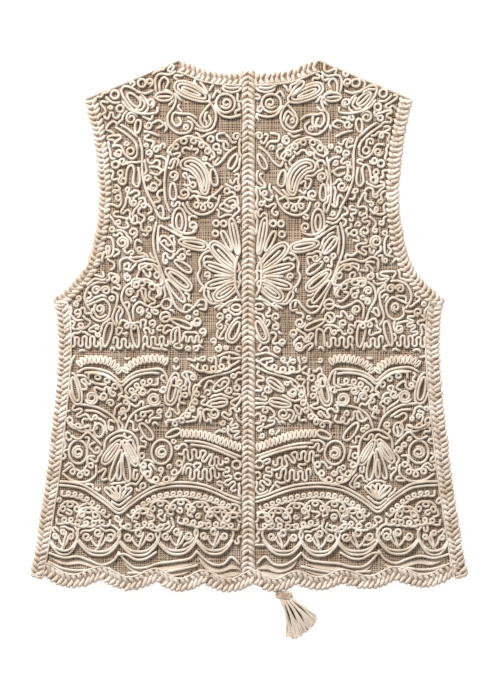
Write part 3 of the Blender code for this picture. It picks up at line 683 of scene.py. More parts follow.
def border():
    """Open rings linked above the hem, each round a sprig, with clovers above and folds below."""
    out = []
    # Columns: middle and half width of each ring.
    for middle, half in ((39, 22), (82, 23), (126, 24), (173, 24), (214, 17)):
        out += link(middle, half) + sprig(middle, 548, half)
    # Columns: x, drop and reach of each clover.
    for x, drop, reach in ((206, 521, 8.5), (184, 527, 7.5), (121, 528, 7.5), (101, 520, 9),
                           (78, 519, 9), (56, 522, 8.5), (35, 528, 8), (16, 533, 6.5)):
        out.append(clover(x, drop, reach, -1))
    return out + [
        looped(route((222, 533), (206, 531), (192, 535), (178, 534), (160, 533)), 4.6, 9.2, -1),
        looped(route((146, 533), (134, 539), (118, 535), (104, 540), (92, 536)), 4.6, 9.2, -1),
        looped(route((80, 531), (64, 535), (48, 538), (30, 537), (10, 539)), 4.6, 9.2, -1),
        route((231, 573), (214, 578), (198, 576), (184, 580), (170, 585), (157, 580), (150, 570)),
        route((150, 571), (143, 580), (132, 588), (118, 588), (104, 584), (84, 582), (68, 579),
              (60, 571)), route((60, 571), (51, 580), (40, 586), (28, 585), (19, 577), (10, 585)),
        route((151, 573), (142, 573), (130, 579), (118, 578), (106, 571)),
        route((232, 583), (216, 590), (198, 592), (182, 590)),
        route((140, 594), (120, 594), (100, 594), (78, 591), (60, 587)),
        route((226, 566), (212, 570), (202, 565)),
    ]


def s_scroll(size):
    """A small S with curled ends."""
    first = curl(0, -size, size, 90, -270, 0.5)[::-1]
    return np.concatenate((first, -first[::-1][1:]))


def small_shape(chance, grade):
    """One filling motif about the origin: rows of loops or bends, scrolls, leaves or rings."""
    hand = chance.choice((-1, 1))
    if grade == 0:
        half = chance.uniform(6, 12)
        line = route((-half, 0), (-half * 0.3, chance.uniform(-4, 4)),
                     (half * 0.4, chance.uniform(-4, 4)), (half, 0))
        if chance.random() < 0.6:
            return looped(line, chance.uniform(4.8, 5.6), 9.8, hand)
        return meander(line, chance.uniform(8.0, 10.0), 8.8)
    kind, size = chance.randrange(7), chance.uniform(*((3.6, 5.0) if grade == 1 else (2.5, 3.2)))
    if kind == 0 and grade == 2:
        return ring(0, 0, size, size * 0.9)
    if kind == 0:
        return looped(route((-9, 0), (0, 2), (9, 0)), 4.8, 9.4, hand)
    if kind in (1, 2):
        return curl(0, 0, size * 1.25, 0, hand * chance.uniform(380, 520), 0.25)
    if kind == 3:
        return s_scroll(size * 0.8)
    if kind == 4:
        return leaf((0, -size * 1.4), (0, size * 1.4), size * 1.9)
    tail = route((size * 0.95, hand), (size * 1.2, hand * size), (size * 0.2, hand * size * 2.0),
                 (-size * 0.9, hand * size * 2.2),
                 (-size * 1.3, hand * size * chance.uniform(2.4, 3.2)))
    return np.concatenate((curl(0, 0, size * 0.9, -hand * 330, hand * 330, 1.0), tail[1:]))


# Columns: x, drop, half width, half drop of each patch of net that the filling leaves bare.
BARE = ((66, 54, 14, 10), (24, 77, 15, 9), (86, 90, 27, 8), (103, 76, 6, 14), (102, 64, 6, 6),
        (98, 56, 7, 5), (27, 126, 10, 18), (63, 115, 10, 5), (80, 143, 5, 12), (34, 148, 5, 8),
        (52, 200, 13, 20), (46, 184, 10, 8), (62, 232, 6, 16), (63, 262, 6, 22), (118, 215, 5, 11),
        (47, 305, 9, 28), (44, 336, 9, 8), (80, 300, 6, 10), (120, 341, 100, 4.2), (76, 352, 6, 8),
        (216, 352, 6, 8), (108, 431, 14, 7), (64, 426, 34, 5), (196, 435, 8, 4), (140, 500, 10, 5),
        (172, 492, 9, 4), (60, 486, 50, 3), (160, 536, 5, 4), (60, 514, 40, 3), (150, 240, 4, 8),
        (166, 240, 9, 5), (147, 352, 6, 7))


class Room:
    """How far each place of a half is from the nearest cord, on a grid; zero is off limits."""

    cell = 0.5  # mm
    rows, columns = 1290, 530
    open_ground = 60.0  # mm, more than any cord's reach
    rim_room = 1.9  # mm, how much further off the panel's edge counts than a cord would
    reach = 24  # cells that a cord marks on each side

    def __init__(self, loop, side):
        self.near = np.full((self.rows, self.columns), self.open_ground)
        drops, across = np.mgrid[0:self.rows, 0:self.columns]
        places = np.stack((side * across.ravel(), drops.ravel()), 1) * self.cell
        self.near[~inside(places, loop).reshape(self.near.shape)] = 0
        for a, b in zip(loop, np.roll(loop, -1, 0)):
            share = np.linspace(0, 1, max(2, int(np.linalg.norm(b - a))))[:, None]
            self.stamp(((1 - share) * a + share * b) * (side, 1), self.rim_room)

    def stamp(self, path, spare=0.0):
        """Marks the ground round a path as taken; spare is added to how far off it counts."""
        for x, drop in path / self.cell:
            i, j = int(drop), int(x)
            top, left = max(0, i - self.reach), max(0, j - self.reach)
            patch = self.near[top:i + self.reach + 1, left:j + self.reach + 1]
            if patch.size:
                rows, cols = np.ogrid[top:top + patch.shape[0], left:left + patch.shape[1]]
                np.minimum(patch, np.hypot(rows - drop, cols - x) * self.cell + spare, out=patch)

    def at(self, points):
        """The free distance at each point."""
        i = np.clip((points[:, 1] / self.cell).astype(int), 0, self.rows - 1)
        j = np.clip((points[:, 0] / self.cell).astype(int), 0, self.columns - 1)
        return self.near[i, j]

    def spots(self, least):
        """The free cells with more room than this, but for ground far from every cord."""
        return np.argwhere((self.near > least) & (self.near < FAR))


def bare(points):
    """Which points lie in a patch of net that stays bare."""
    hit = np.zeros(len(points), bool)
    for x, drop, half, tall in BARE:
        hit |= ((points[:, 0] - x) / half) ** 2 + ((points[:, 1] - drop) / tall) ** 2 < 1
    return hit


def coiled(path):
    """Whether an open path ends inside its own coil."""
    return len(path) > 10 and TOUCH < np.linalg.norm(path[:-6] - path[-1], axis=1).min() < COIL


def reached(path, room):
    """The path with its last end led on until it tucks under the nearest cord, but for a coil's."""
    if coiled(path):
        return path
    out = list(path)
    heading = math.atan2(*(out[-1] - out[-2])[::-1])
    for _ in range(LEAD_STEPS):
        offers = heading + LEAD
        spots = out[-1] + CORD_STEP * np.stack((np.cos(offers), np.sin(offers)), 1)
        near = room.at(spots)
        pick = int(np.argmin(near + 0.25 * np.abs(offers - heading)))
        if bare(spots[pick][None])[0]:
            return path
        heading = offers[pick]
        out.append(spots[pick])
        if near[pick] < TUCKED:
            return np.array(out)
    return path


def tucked(path, room):
    """An open path with both ends led to the cords beside it."""
    if is_closed(path):
        return path
    return reached(reached(path, room)[::-1], room)


def threaded(start, room):
    """A cord led both ways along the middle of a gap until it tucks under its neighbours."""
    ways = np.linspace(0, 2 * math.pi, 9)[:-1]
    ahead = start + 3.0 * np.array([(math.cos(way), math.sin(way)) for way in ways])
    first = ways[int(np.argmax(room.at(ahead)))]
    halves = []
    for heading in (first, first + math.pi):
        run = [start]
        for _ in range(THREAD_STEPS):
            offers = heading + THREAD
            spots = run[-1] + STRING_STEP * np.stack((np.cos(offers), np.sin(offers)), 1)
            near = room.at(spots)
            pick = int(np.argmax(near - 0.2 * np.abs(offers - heading)))
            if bare(spots[pick][None])[0]:
                break
            heading = offers[pick]
            run.append(spots[pick])
            if near[pick] < TUCKED:
                break
        halves.append(run)
    return np.array(halves[1][:0:-1] + halves[0])


# Columns: what is laid (0 rows of loops, 1 motifs, 2 small ones, a string, or a gap's cord), tries,
# tries between two looks for free ground, and the room that a place must have.
PASSES = ((0, 160, 120, ROOM + 1.4), ("string", 3000, 20, ROOM + 1.4), (1, 3600, 120, ROOM + 1.2),
          ("string", 1200, 20, ROOM + 1.4), (2, 4000, 120, ROOM + 0.6), ("gap", 900, 10, GAP))


def fitted(what, start, room, chance):
    """One cord of the filling at a free place, or None where it doesn't fit."""
    if what == "gap":
        taken = room.at(start[None])[0] < GAP or bare(start[None])[0]
        shape = () if taken else threaded(start, room)
        return shape if len(shape) > 5 else None
    if what == "string":
        shape = () if room.at(start[None])[0] < ROOM else wander(room, start, chance)
        return tucked(shape, room) if len(shape) >= 8 else None
    shape = placed(small_shape(chance, what), room, start, chance)
    return None if shape is None else tucked(shape, room)


def fill(room, seed):
    """Cords packed close together: rows of loops, long strings, small motifs, and what gaps take."""
    chance = random.Random(seed)
    out = []
    for what, tries, every, least in PASSES:
        for attempt in range(tries):
            if attempt % every == 0:
                free = room.spots(least)
                if not len(free):
                    break
            drop, x = free[chance.randrange(len(free))] * room.cell
            shape = fitted(what, np.array((x, drop)), room, chance)
            if shape is not None:
                out.append(softened(shape))
                room.stamp(out[-1])
    return out


def softened(path):
    """An open path with its kinks eased twice over."""
    if is_closed(path):
        return path
    for _ in range(2):
        inner = 0.25 * path[:-2] + 0.5 * path[1:-1] + 0.25 * path[2:]
        path = np.concatenate((path[:1], inner, path[-1:]))
    return path


def placed(shape, room, spot, chance):
    """The motif turned and pushed close to its neighbours at a spot, or None where it can't be."""
    turn = chance.uniform(0, 6.28)
    spin = np.array(((math.cos(turn), math.sin(turn)), (-math.sin(turn), math.cos(turn))))
    shape = shape @ spin + spot
    gap = room.at(shape).min()
    for _ in range(10):
        if ROOM <= gap < ROOM + 0.8:
            break
        way, far = chance.uniform(0, 6.28), abs(gap - ROOM) + 0.6
        moved = shape + far * np.array((math.cos(way), math.sin(way)))
        closer = room.at(moved).min()
        if gap < closer if gap < ROOM else ROOM <= closer < gap:
            shape, gap = moved, closer
    return shape if ROOM <= gap < ROOM + 2.2 and not bare(shape).any() else None


def bend(start, heading, radius, turn, shrink=1.0):
    """An arc of cord from a point, and the heading it ends with; shrink winds it inwards."""
    count = max(3, int(abs(turn) * radius * (1 + shrink) / 2 / STRING_STEP))
    share = (np.arange(count) + 0.5) / count
    steps = abs(turn) / count * radius * (1 + (shrink - 1) * share)
    angles = heading + turn * share
    moves = steps[:, None] * np.stack((np.cos(angles), np.sin(angles)), 1)
    return start + np.cumsum(moves, axis=0), heading + turn


def clear(points, path, room):
    """Whether points led on from a path lie clear of all cords, the path and the bare patches."""
    if room.at(points).min() < ROOM - 0.1 or bare(points).any():
        return False
    if len(path) < 6 or len(points) < 4:
        return True
    return np.linalg.norm(points[3:, None] - path[None, :-5], axis=2).min() > ROOM - 0.3


# A hairpin, which has a nearly straight run before it, then a bend, a loop and a long slow curve.
# Columns: chance up to which it is picked, range of its radius in mm, range of its turn in radians.
BENDS = ((0.5, (1.9, 2.4), (2.6, 3.5)), (0.8, (3.0, 5.0), (1.6, 3.6)), (0.92, (2.6, 3.6), (5.7, 6.9)),
         (1.0, (6, 11), (0.4, 0.8)))
# Columns: radius in mm and turn in radians of the end curls, the first that fits being made.
END_CURLS = ((5.4, 9.5), (4.4, 8.5), (3.6, 7.6), (2.9, 5.8), (2.9, 4.0), (2.9, 2.5))


def grown(path, heading, room, chance, most):
    """A string of cord led on by hairpins, bends and loops, close to its neighbours."""
    hand = chance.choice((-1, 1))
    for _ in range(most):
        best = None
        for _ in range(8):
            pick = chance.random()
            run = path[:0]
            if pick < BENDS[0][0]:
                run = bend(path[-1], heading, chance.uniform(2, 8) / SLIGHT,
                           chance.choice((-SLIGHT, SLIGHT)))[0]
            radii, turns = next(row[1:] for row in BENDS if pick < row[0])
            points, after = bend(run[-1] if len(run) else path[-1], heading,
                                 chance.uniform(*radii), hand * chance.uniform(*turns))
            points = np.concatenate((run, points))
            if clear(points, path, room):
                score = room.at(points).mean() - 0.05 * len(points)
                if best is None or score < best[0]:
                    best = (score, points, after)
        if best is None:
            break
        path, heading, hand = np.concatenate((path, best[1])), best[2], -hand
    for radius, turn in END_CURLS:
        for way in (hand, -hand):
            points, after = bend(path[-1], heading, radius, way * turn, 0.34 if turn > 7 else 0.6)
            if clear(points, path, room):
                return np.concatenate((path, points)), after
    return path, heading


def wander(room, start, chance):
    """One long cord of bends and loops, grown both ways from a point, with a curl at each end."""
    heading = chance.uniform(0, 6.28)
    first, _ = grown(np.array([start]), heading, room, chance, chance.randrange(2, 9))
    if len(first) < 6:
        return first
    whole, _ = grown(first[::-1], heading + math.pi, room, chance, chance.randrange(1, 6))
    return whole


def trimmed(path, room):
    """The stretches of a path that lie clear of the panel's edge."""
    within = room.at(path) > RIM
    if within.all():
        return [path]
    marks = np.flatnonzero(np.diff(np.concatenate(([0], within.astype(int), [0]))))
    return [path[a:b] for a, b in zip(marks[::2], marks[1::2]) if b - a > 4]


def drifted(path, seed):
    """The path with the small slow drift of a hand."""
    x, drop = path.T
    return np.stack((x + 0.9 * np.sin(drop / 31 + seed) + 0.5 * np.sin(x / 13 + 2 * seed),
                     drop + 0.9 * np.sin(x / 29 + 3 * seed) + 0.5 * np.sin(drop / 17 + seed)), 1)


def laid(paths, side, loop, seed):
    """Gives each path its height; a cord that crosses an earlier one climbs over it."""
    taken = Room(loop, side)
    taken.near[:] = taken.open_ground
    chance = random.Random(seed)
    out = []
    for path in paths:
        near = taken.at(path)
        climb = CLIMB * np.clip(1 - near / CLIMB_REACH, 0, 1)
        soft = np.convolve(np.pad(climb, 2, "edge"), np.ones(5) / 5, "valid")
        x, drop = side * path[:, 0], path[:, 1]
        z = CORD_LEVEL + ripple(x, drop) + soft + chance.uniform(-0.1, 0.25)
        if not is_closed(path):
            ends = np.minimum(np.arange(len(path)), np.arange(len(path))[::-1])
            z -= END_DIP * np.clip(1 - ends / 1.6, 0, 1)
        out.append(np.stack((x, drop, z), 1))
        taken.stamp(path)
    return out


# The ribbed arcs of cord looped to and fro, and the draped tapes at the foot, are kept clear of it.
GIMP = (route((198, 354), (190, 348.5), (178, 347.5), (164, 349), (154, 355), (147, 364)),
        route((145, 362), (137, 354), (127, 349), (113, 346.5), (101, 347), (93, 352)),
        route((79, 433), (66, 433.5), (54, 434.5), (42, 438), (28, 443), (10, 449.5)))
GIMP_ROOM = 4.4  # mm, how much nearer a ribbed arc counts than a cord would
FOOT = 563  # mm, drop below which the ground is draped and takes no filling
cord_cotton = cotton("ecru cotton cord", "#FAEEE0", "#DAC6B0", sheen=0.3, ply=4.0)
# Painted shade: a thin flat dark brown strip under every cord, a little wider than the cord, stands in
# for the shadow along its foot.
cord_shadow_paint = cotton("dark brown paint for the shadow at the foot of each cord", "#8A6D56", "#6F543F", roughness=0.95, sheen=0.0)
ARTWORK = [*yoke(), *shoulder_stem(), *paisley(), *side_leaves(), *palmette(), *vases(), *cartouche(),
           *lily(), *swags(), *border()]
cords = {}
for side, word, seed in ((-1, "left", 3), (1, "right", 8)):
    loop = loops[word]
    room = Room(loop, side)
    stretches = [stretch for path in ARTWORK for stretch in trimmed(drifted(path, seed), room)]
    drawn = []
    for path in sorted(stretches, key=coiled):
        drawn.append(tucked(path, room) if coiled(path) else path)
        room.stamp(drawn[-1])
    for path in GIMP:
        room.stamp(path, -GIMP_ROOM)
    room.near[int(FOOT / room.cell):] = 0
    paths = laid(drawn + fill(room, seed), side, loop, seed)
    count = len(drawn)
    cords[f"{word}_filling"] = tubes(f"filling_cord_{word}", paths[count:], CORD, cord_cotton, sides=6)
    cords[word] = tubes(f"laid_cord_{word}", paths[:count], CORD, cord_cotton, sides=7)
    # Painted shade: the flat dark strip along every cord, just over the net, that stands in for its
    # shadow.
    painted_shadow_paths = [np.column_stack((path[:, :2], PAINTED_SHADOW_LEVEL + ripple(*path[:, :2].T))) for path in paths]
    cords[f"{word}_sewing"] = tubes(f"sewing_thread_{word}", painted_shadow_paths, PAINTED_SHADOW_HALF, cord_shadow_paint,
                                    flatness=0.1, sides=4)
    for key in (word, f"{word}_filling", f"{word}_sewing"):
        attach(cords[key], "root")

# ---------------------------------------------------------------- Crochet braid
# A flat crochet braid in the same cotton, 15 mm wide, edges everything: down the middle over the
# seam, round the neck and armholes, folded over the sides and along the scalloped hem. Its stitches
# are thick bent strands that lie over one another in two rows, on a backing of chain whose darker
# colour is painted shade between the stitches.
BRAID_PITCH = 6.4
BRAID_WIDTH, SIDE_WIDTH, CENTRE_WIDTH = 14.6, 15.4, 14.6
BACK_BRAID, FRONT_BRAID = 5.6, 1.4  # mm, height of the stitches' middle
CENTRE_RAISED = 0.3  # mm, how much higher the centre braid lies
CENTRE_TOP, CENTRE_FOOT = 13.0, 596.0  # mm, drops between which it runs
NECK_END = 6.8  # mm from the centre line, where the back neck braids end
PLUMP, FLAT = 0.75, 0.5  # flatness of the strands that show, and of those below
KEY_HAND = (0.012, 0.05, 0.1)  # how unevenly a strand is bent: across, along, and in mm of lift
STITCH_HAND = (0.02, 0.07, 0.16)  # how unevenly a whole stitch is set, in the same
# Columns: drop, half width of the garment.
BACK_ARMHOLE = ((46, 190), (70, 184), (105, 178), (151, 174), (186, 176), (221, 183), (244, 193),
                (267, 214), (276, 228))
FRONT_ARMHOLE = ((45, 187), (70, 177), (105, 169), (151, 165), (186, 168), (221, 177), (244, 189),
                 (267, 212), (276, 228))
SIDE_EDGE = ((277.4, 227.4), (297, 222.6), (331, 221), (383, 224), (429, 229), (476, 234),
             (522, 241), (568, 248), (597, 254))
BACK_NECK = ((0, 80), (2.0, 72), (7, 60), (11, 50), (13.5, 36), (15, 20), (15.3, 0))
FRONT_NECK = ((0, 80), (20, 70), (44, 56), (62, 34), (70, 14), (71, 0))
# Columns: x, drop of each cusp of the hem; then the drop of each scallop between two cusps.
HEM_CUSPS = ((-238, 597), (-170, 602), (-107, 604), (-52, 606), (6, 606), (55, 607), (108, 605),
             (169, 602), (238, 597))
HEM_BOTTOMS = (611, 614, 616, 616, 616, 614, 613, 611)
# Each row of a braid is one strand's places.
# Columns: share across from the outer edge, share of the pitch along, lift in mm.
PLAIT = (
    ((0.03, -0.40, -0.9), (0.09, 0.00, 0.2), (0.24, 0.34, 0.6), (0.42, 0.58, 0.5), (0.56, 0.66, -0.2)),
    ((0.97, 0.10, -0.9), (0.91, 0.50, 0.2), (0.76, 0.84, 0.6), (0.58, 1.08, 0.5), (0.44, 1.16, -0.2)))
CENTRE = (
    ((0.54, -0.50, 0.1), (0.42, -0.42, 0.6), (0.24, -0.16, 0.6), (0.09, 0.24, 0.2), (0.03, 0.60, -0.9)),
    ((0.46, -0.40, 0.1), (0.58, -0.32, 0.6), (0.76, -0.06, 0.6), (0.91, 0.34, 0.2), (0.97, 0.70, -0.9)))
ARMHOLE = (
    ((0.03, -0.62, -1.0), (0.08, -0.12, 0.0), (0.26, 0.26, 0.5), (0.48, 0.20, 0.4),
     (0.64, -0.22, -0.9)),
    ((0.50, 0.66, -0.9), (0.68, 0.34, 0.3), (0.86, -0.04, 0.2), (0.96, -0.46, -0.9)))
NECK = (
    ((0.01, -0.45, -0.8), (0.07, -0.02, 0.2), (0.24, 0.28, 0.6), (0.44, 0.42, 0.4), (0.58, 0.36, -0.4)),
    ((0.99, -0.20, -0.8), (0.91, 0.16, 0.2), (0.74, 0.46, 0.5), (0.54, 0.62, 0.2), (0.42, 0.66, -0.5)))
FRONT_PLAIT = (((0.06, -0.50, -0.3), (0.30, 0.10, 0.1), (0.56, 0.80, -0.3)),
               ((0.94, 0.00, -0.3), (0.70, 0.60, 0.1), (0.44, 1.30, -0.3)))
# Half width in mm of the strand in each kind of braid, and how it swells from end to end.
STRAND = {PLAIT: 2.55, CENTRE: 2.3, ARMHOLE: 2.6, NECK: 2.5, FRONT_PLAIT: 2.2}
GRAIN = (0.55, 0.9, 1.0, 0.95, 0.8, 0.5)


def edge_line(table, side):
    """The outer edge that a table of drops and half widths gives."""
    return route(*[(side * half, drop) for drop, half in table])


def inner_line(outer, width):
    """The line a band's width inside an outer edge."""
    way = np.gradient(outer, axis=0)
    normal = np.stack((-way[:, 1], way[:, 0]), 1) / np.linalg.norm(way, axis=1, keepdims=True)
    middle = np.array((0, 300)) - outer
    normal *= np.sign((normal * middle).sum(1).mean())
    return outer + normal * width


def hem_line(x, upper):
    """The drop of the hem's lower, cusped edge or of its upper, wavy one."""
    x = min(max(x, HEM_CUSPS[0][0]), HEM_CUSPS[-1][0])
    for (start, first), (stop, second), bottom in zip(HEM_CUSPS, HEM_CUSPS[1:], HEM_BOTTOMS):
        if x <= stop:
            t = (x - start) / (stop - start)
            cusp = (1 - t) * first + t * second
            if upper:
                return cusp + (bottom - cusp) * (0.5 - 0.5 * math.cos(2 * math.pi * t)) - BRAID_WIDTH
            return cusp + (bottom - cusp) * (1 - abs(2 * t - 1) ** 2.2)


def band_of(name, outer, inner, rows, level, rides, finish, seed):
    """A braid between two edges as one piece: its strands on their backing."""
    chance = np.random.default_rng(seed)
    middle, flatness = (outer + inner) / 2, PLUMP if rides else FLAT
    count = max(2, round(length_of(middle) / BRAID_PITCH))
    paths = []
    for row in rows:
        for k in range(count):
            keys = np.array(row) + chance.normal(0, KEY_HAND, (len(row), 3))
            keys = keys + chance.normal(0, STITCH_HAND, 3)
            at = (k + 0.5 + keys[:, 1]) / count
            edge, far = along_path(outer, at)[0], along_path(inner, at)[0]
            places = np.column_stack((edge + (far - edge) * keys[:, :1], keys[:, 2]))
            x, drop, lift = (route(*places) if rides else places).T
            z = level + rides * ripple(x, drop) + lift
            paths.append(np.stack((x, drop, np.maximum(z, STRAND[rows] * flatness + 0.05)), 1))
    strands = tubes(f"{name}_strands", paths, STRAND[rows], finish, flatness, sides=6, swell=GRAIN)
    # The backing stays a little inside the braid's edges, but on the centre braid it covers them.
    margin = -0.02 if rows == CENTRE else 0.06
    low, high = (2.0, 0.35) if rides else (0.9, 0.2)
    shape = (margin, 1 - margin, level - low, level + high)
    return joined(name, [strands, backing(f"{name}_backing", outer, inner, shape, rides)])


def backing(name, outer, inner, shape, rides):
    """The flat web of chain that the stitches stand on, in the darker colour of painted shade; shape is
    its two shares across and heights.
    """
    near, far, low, high = shape
    step = max(1, len(outer) // 90)
    outer, inner = (np.concatenate((e[:-1:step], e[-1:])) for e in (outer, inner))
    corners = []
    for share, z in ((near, low), (far, low), (far, high), (near, high)):
        x, drop = (outer + (inner - outer) * share).T
        corners.append(world(x, drop, z + rides * ripple(x, drop)))
    points = np.stack(corners, 1).reshape(-1, 3)
    count = len(outer)
    faces = [(4 * k + n, 4 * k + (n + 1) % 4, 4 * k + 4 + (n + 1) % 4, 4 * k + 4 + n)
             for k in range(count - 1) for n in range(4)]
    faces += [(3, 2, 1, 0), tuple(4 * count - 4 + n for n in range(4))]
    made = add_mesh(name, points, faces, braid_shade, smooth=False)
    volume = sum(f.center.dot(f.normal) * f.area for f in made.data.polygons)
    if volume < 0:
        made.data.flip_normals()
    return made


def joined(name, parts):
    """Several plain pieces as one."""
    with bpy.context.temp_override(active_object=parts[0], selected_editable_objects=parts):
        bpy.ops.object.join()
    parts[0].name = parts[0].data.name = name
    return parts[0]


braid_cotton = cotton("ecru crochet cotton", "#F8EBDD", "#D6C1AC", sheen=0.2, ply=5.0)
braid_shade = cotton("ecru crochet cotton, in shade", "#B89E86", "#9A806A", roughness=0.95, sheen=0.0)
hem_x = np.arange(-240, 240.1, 2.0)
hem_lower = np.array([(x, hem_line(x, False)) for x in hem_x])
hem_upper = np.array([(x, hem_line(x, True)) for x in hem_x])
centre_drops = np.arange(CENTRE_TOP, CENTRE_FOOT, 3.0)
centre_edges = [np.array([(side * CENTRE_WIDTH / 2, drop) for drop in centre_drops])
                for side in (-1, 1)]
neck_left, neck_right = (line[abs(line[:, 0]) > NECK_END]
                         for line in (edge_line(BACK_NECK, -1), edge_line(BACK_NECK, 1)))
front_neck = np.concatenate((edge_line(FRONT_NECK, -1), edge_line(FRONT_NECK, 1)[-2::-1]))
upper, lower = (BACK_BRAID, 1.0), (FRONT_BRAID, 0.0)
# Columns: node, outer edge, inner edge, stitch rows, height, share of the ripple it rides.
BANDS = [("hem_braid_back", hem_lower, hem_upper, PLAIT, *upper),
         ("hem_braid_front", hem_lower, hem_upper, FRONT_PLAIT, *lower),
         ("neck_braid_front", front_neck, inner_line(front_neck, BRAID_WIDTH), FRONT_PLAIT, *lower),
         ("neck_braid_back_left", neck_left, inner_line(neck_left, BRAID_WIDTH), NECK, *upper),
         ("neck_braid_back_right", neck_right, inner_line(neck_right, BRAID_WIDTH), NECK, *upper)]
for side, word in ((-1, "left"), (1, "right")):
    for name, table, width, rows, layer in (
            (f"armhole_braid_{word}_back", BACK_ARMHOLE, BRAID_WIDTH, ARMHOLE, upper),
            (f"armhole_braid_{word}_front", FRONT_ARMHOLE, BRAID_WIDTH, FRONT_PLAIT, lower),
            (f"side_braid_{word}", SIDE_EDGE, SIDE_WIDTH, PLAIT, upper),
            (f"side_braid_{word}_under", SIDE_EDGE, SIDE_WIDTH, FRONT_PLAIT, lower)):
        outer = edge_line(table, side)
        BANDS.append((name, outer, inner_line(outer, width), rows, *layer))
BANDS.append(("centre_braid", *centre_edges, CENTRE, BACK_BRAID + CENTRE_RAISED, 1.0))
braids = {}
for seed, (name, outer, inner, rows, level, rides) in enumerate(BANDS):
    piece_name = name if name.endswith("under") else f"{name}_stitches"
    braids[name] = band_of(piece_name, outer, inner, rows, level, rides, braid_cotton, seed)
    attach(braids[name], "root")
    if not name.endswith("under"):
        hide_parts(name)

# A thinner cord is sewn along the inner edge of the hem, neck and side braids and along the
# shoulders, and hides the seams.
EDGING, SHOULDER = 1.15, 1.9  # mm, half width
SEAM_LEVEL = 5.0  # mm
edging = []
for name, outer, inner, rows, level, rides in BANDS:
    if rides and name != "centre_braid" and "armhole" not in name:
        x, drop = (outer + (inner - outer) * (1.0 if "side" in name else 0.97)).T
        edging.append(np.stack((x, drop, level + 0.9 + ripple(x, drop)), 1))
shoulders = []
for side in (-1, 1):
    run = route((side * 81, 0.4), (side * 137, 23.9), (side * 189, 45.4))
    shoulders.append(np.column_stack((run, SEAM_LEVEL + ripple(*run.T))))
    run = inner_line(edge_line(SIDE_EDGE, side), SIDE_WIDTH - 3.4)[8:]
    edging.append(np.column_stack((run, SEAM_LEVEL + ripple(*run.T))))
edging = tubes("edging_cord", edging, EDGING, cord_cotton, sides=6)
shoulders = tubes("shoulder_cord", shoulders, SHOULDER, cord_cotton)
for piece in (edging, shoulders):
    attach(piece, "root")

# ---------------------------------------------------------------- Ribbed arcs and draped tapes
# Over each heart and beside each fan the cord is looped to and fro so closely that it stands as a
# ribbed arc. Above the hem, thin woven tapes are laid in long shallow drapes and caught down under the
# cords. The pieces laid over each back panel, and those beneath, are gathered in lists.
GIMP_PITCH = 5.2
GIMP_LEVEL = 6.3
GIMP_LEAN, GIMP_TILT = 82, -5  # degrees, how a loop is turned from its arc, and tipped
GIMP_SIZE = (0.0112, 0.0074, 0.0036)  # m, one loop's length, width and height
GIMP_BOW = 0.12
LOOP_POINTS, LOOP_SIDES = 12, 5
LOOP_YARN = 0.46  # the yarn's thickness as a share of the loop's width
TAPE_HALF, TAPE_LEVEL, TAPE_THICK = 2.7, 4.9, 0.35  # mm
TAPE_POINTS = 40
# Columns: share across a tape from its upper edge, rise in mm.
TAPE_FOLD = ((-1.0, 0.0), (-0.5, 0.25), (0.1, 0.7), (0.55, 1.4), (0.85, 1.7), (1.0, 1.2), (1.02, 0.0))
# Each row is one tape's way, as x and drop of a few places.
TAPES = (((231, 577), (212, 583), (196, 582), (180, 586), (166, 588), (154, 583)),
         ((228, 589), (212, 594), (196, 596), (182, 594)),
         ((148, 577), (138, 588), (124, 594), (104, 591), (84, 588), (66, 585)),
         ((140, 596), (120, 599), (98, 597), (80, 595), (62, 590)),
         ((58, 576), (48, 588), (34, 592), (20, 588), (9, 591)),
         ((54, 594), (38, 598), (22, 597), (9, 595)))
tape_cotton = cotton("fine woven cotton tape", "#E6D5C3", "#CDB8A3", sheen=0.15)


def loop_mesh():
    """One loop a unit long along X, of thick yarn, full in front and bowed sideways."""
    points, faces = [], []
    for k in range(LOOP_POINTS):
        u = 2 * math.pi * k / LOOP_POINTS
        reach = 0.5 - 0.11
        x, y = -reach * math.cos(u), 0.5 * (1 - LOOP_YARN) * math.sin(u) * (0.86 - 0.14 * math.cos(u))
        out = Vector((-math.cos(u), math.sin(u), 0)).normalized()
        for n in range(LOOP_SIDES):
            turn = 2 * math.pi * n / LOOP_SIDES
            spread = 0.5 * math.cos(turn)
            points.append((x + out.x * spread * 0.22,
                           y + out.y * spread * LOOP_YARN + GIMP_BOW * (0.25 - 2 * x * x),
                           0.5 * math.sin(turn) + 0.12 * x))
            a, b, after = k * LOOP_SIDES, (k + 1) % LOOP_POINTS * LOOP_SIDES, (n + 1) % LOOP_SIDES
            faces.append((a + n, a + after, b + after, b + n))
    mesh = bpy.data.meshes.new("loop")
    mesh.from_pydata(points, [], faces)
    return mesh


def arc_tree():
    """Geometry Nodes: a loop on every point, turned and sized by the point's own values."""
    tree, given = new_tree("ribbed arc", Geometry="Geometry", Loop="Object", Finish="Material")
    shape = add(tree, "GeometryNodeObjectInfo", Object=given["Loop"]).outputs["Geometry"]
    values = {}
    for name in ("turn", "size"):
        values[name] = add(tree, "GeometryNodeInputNamedAttribute", {"data_type": "FLOAT_VECTOR"},
                           Name=name).outputs["Attribute"]
    turned = add(tree, "FunctionNodeEulerToRotation", Euler=values["turn"]).outputs[0]
    placed = add(tree, "GeometryNodeInstanceOnPoints", Points=given["Geometry"], Instance=shape,
                 Rotation=turned, Scale=values["size"]).outputs[0]
    plain = add(tree, "GeometryNodeRealizeInstances", Geometry=placed).outputs[0]
    soft = add(tree, "GeometryNodeSetShadeSmooth", Geometry=plain).outputs[0]
    done = add(tree, "GeometryNodeSetMaterial", Geometry=soft, Material=given["Finish"]).outputs[0]
    add(tree, "NodeGroupOutput", Geometry=done)
    return tree


ARC = arc_tree()


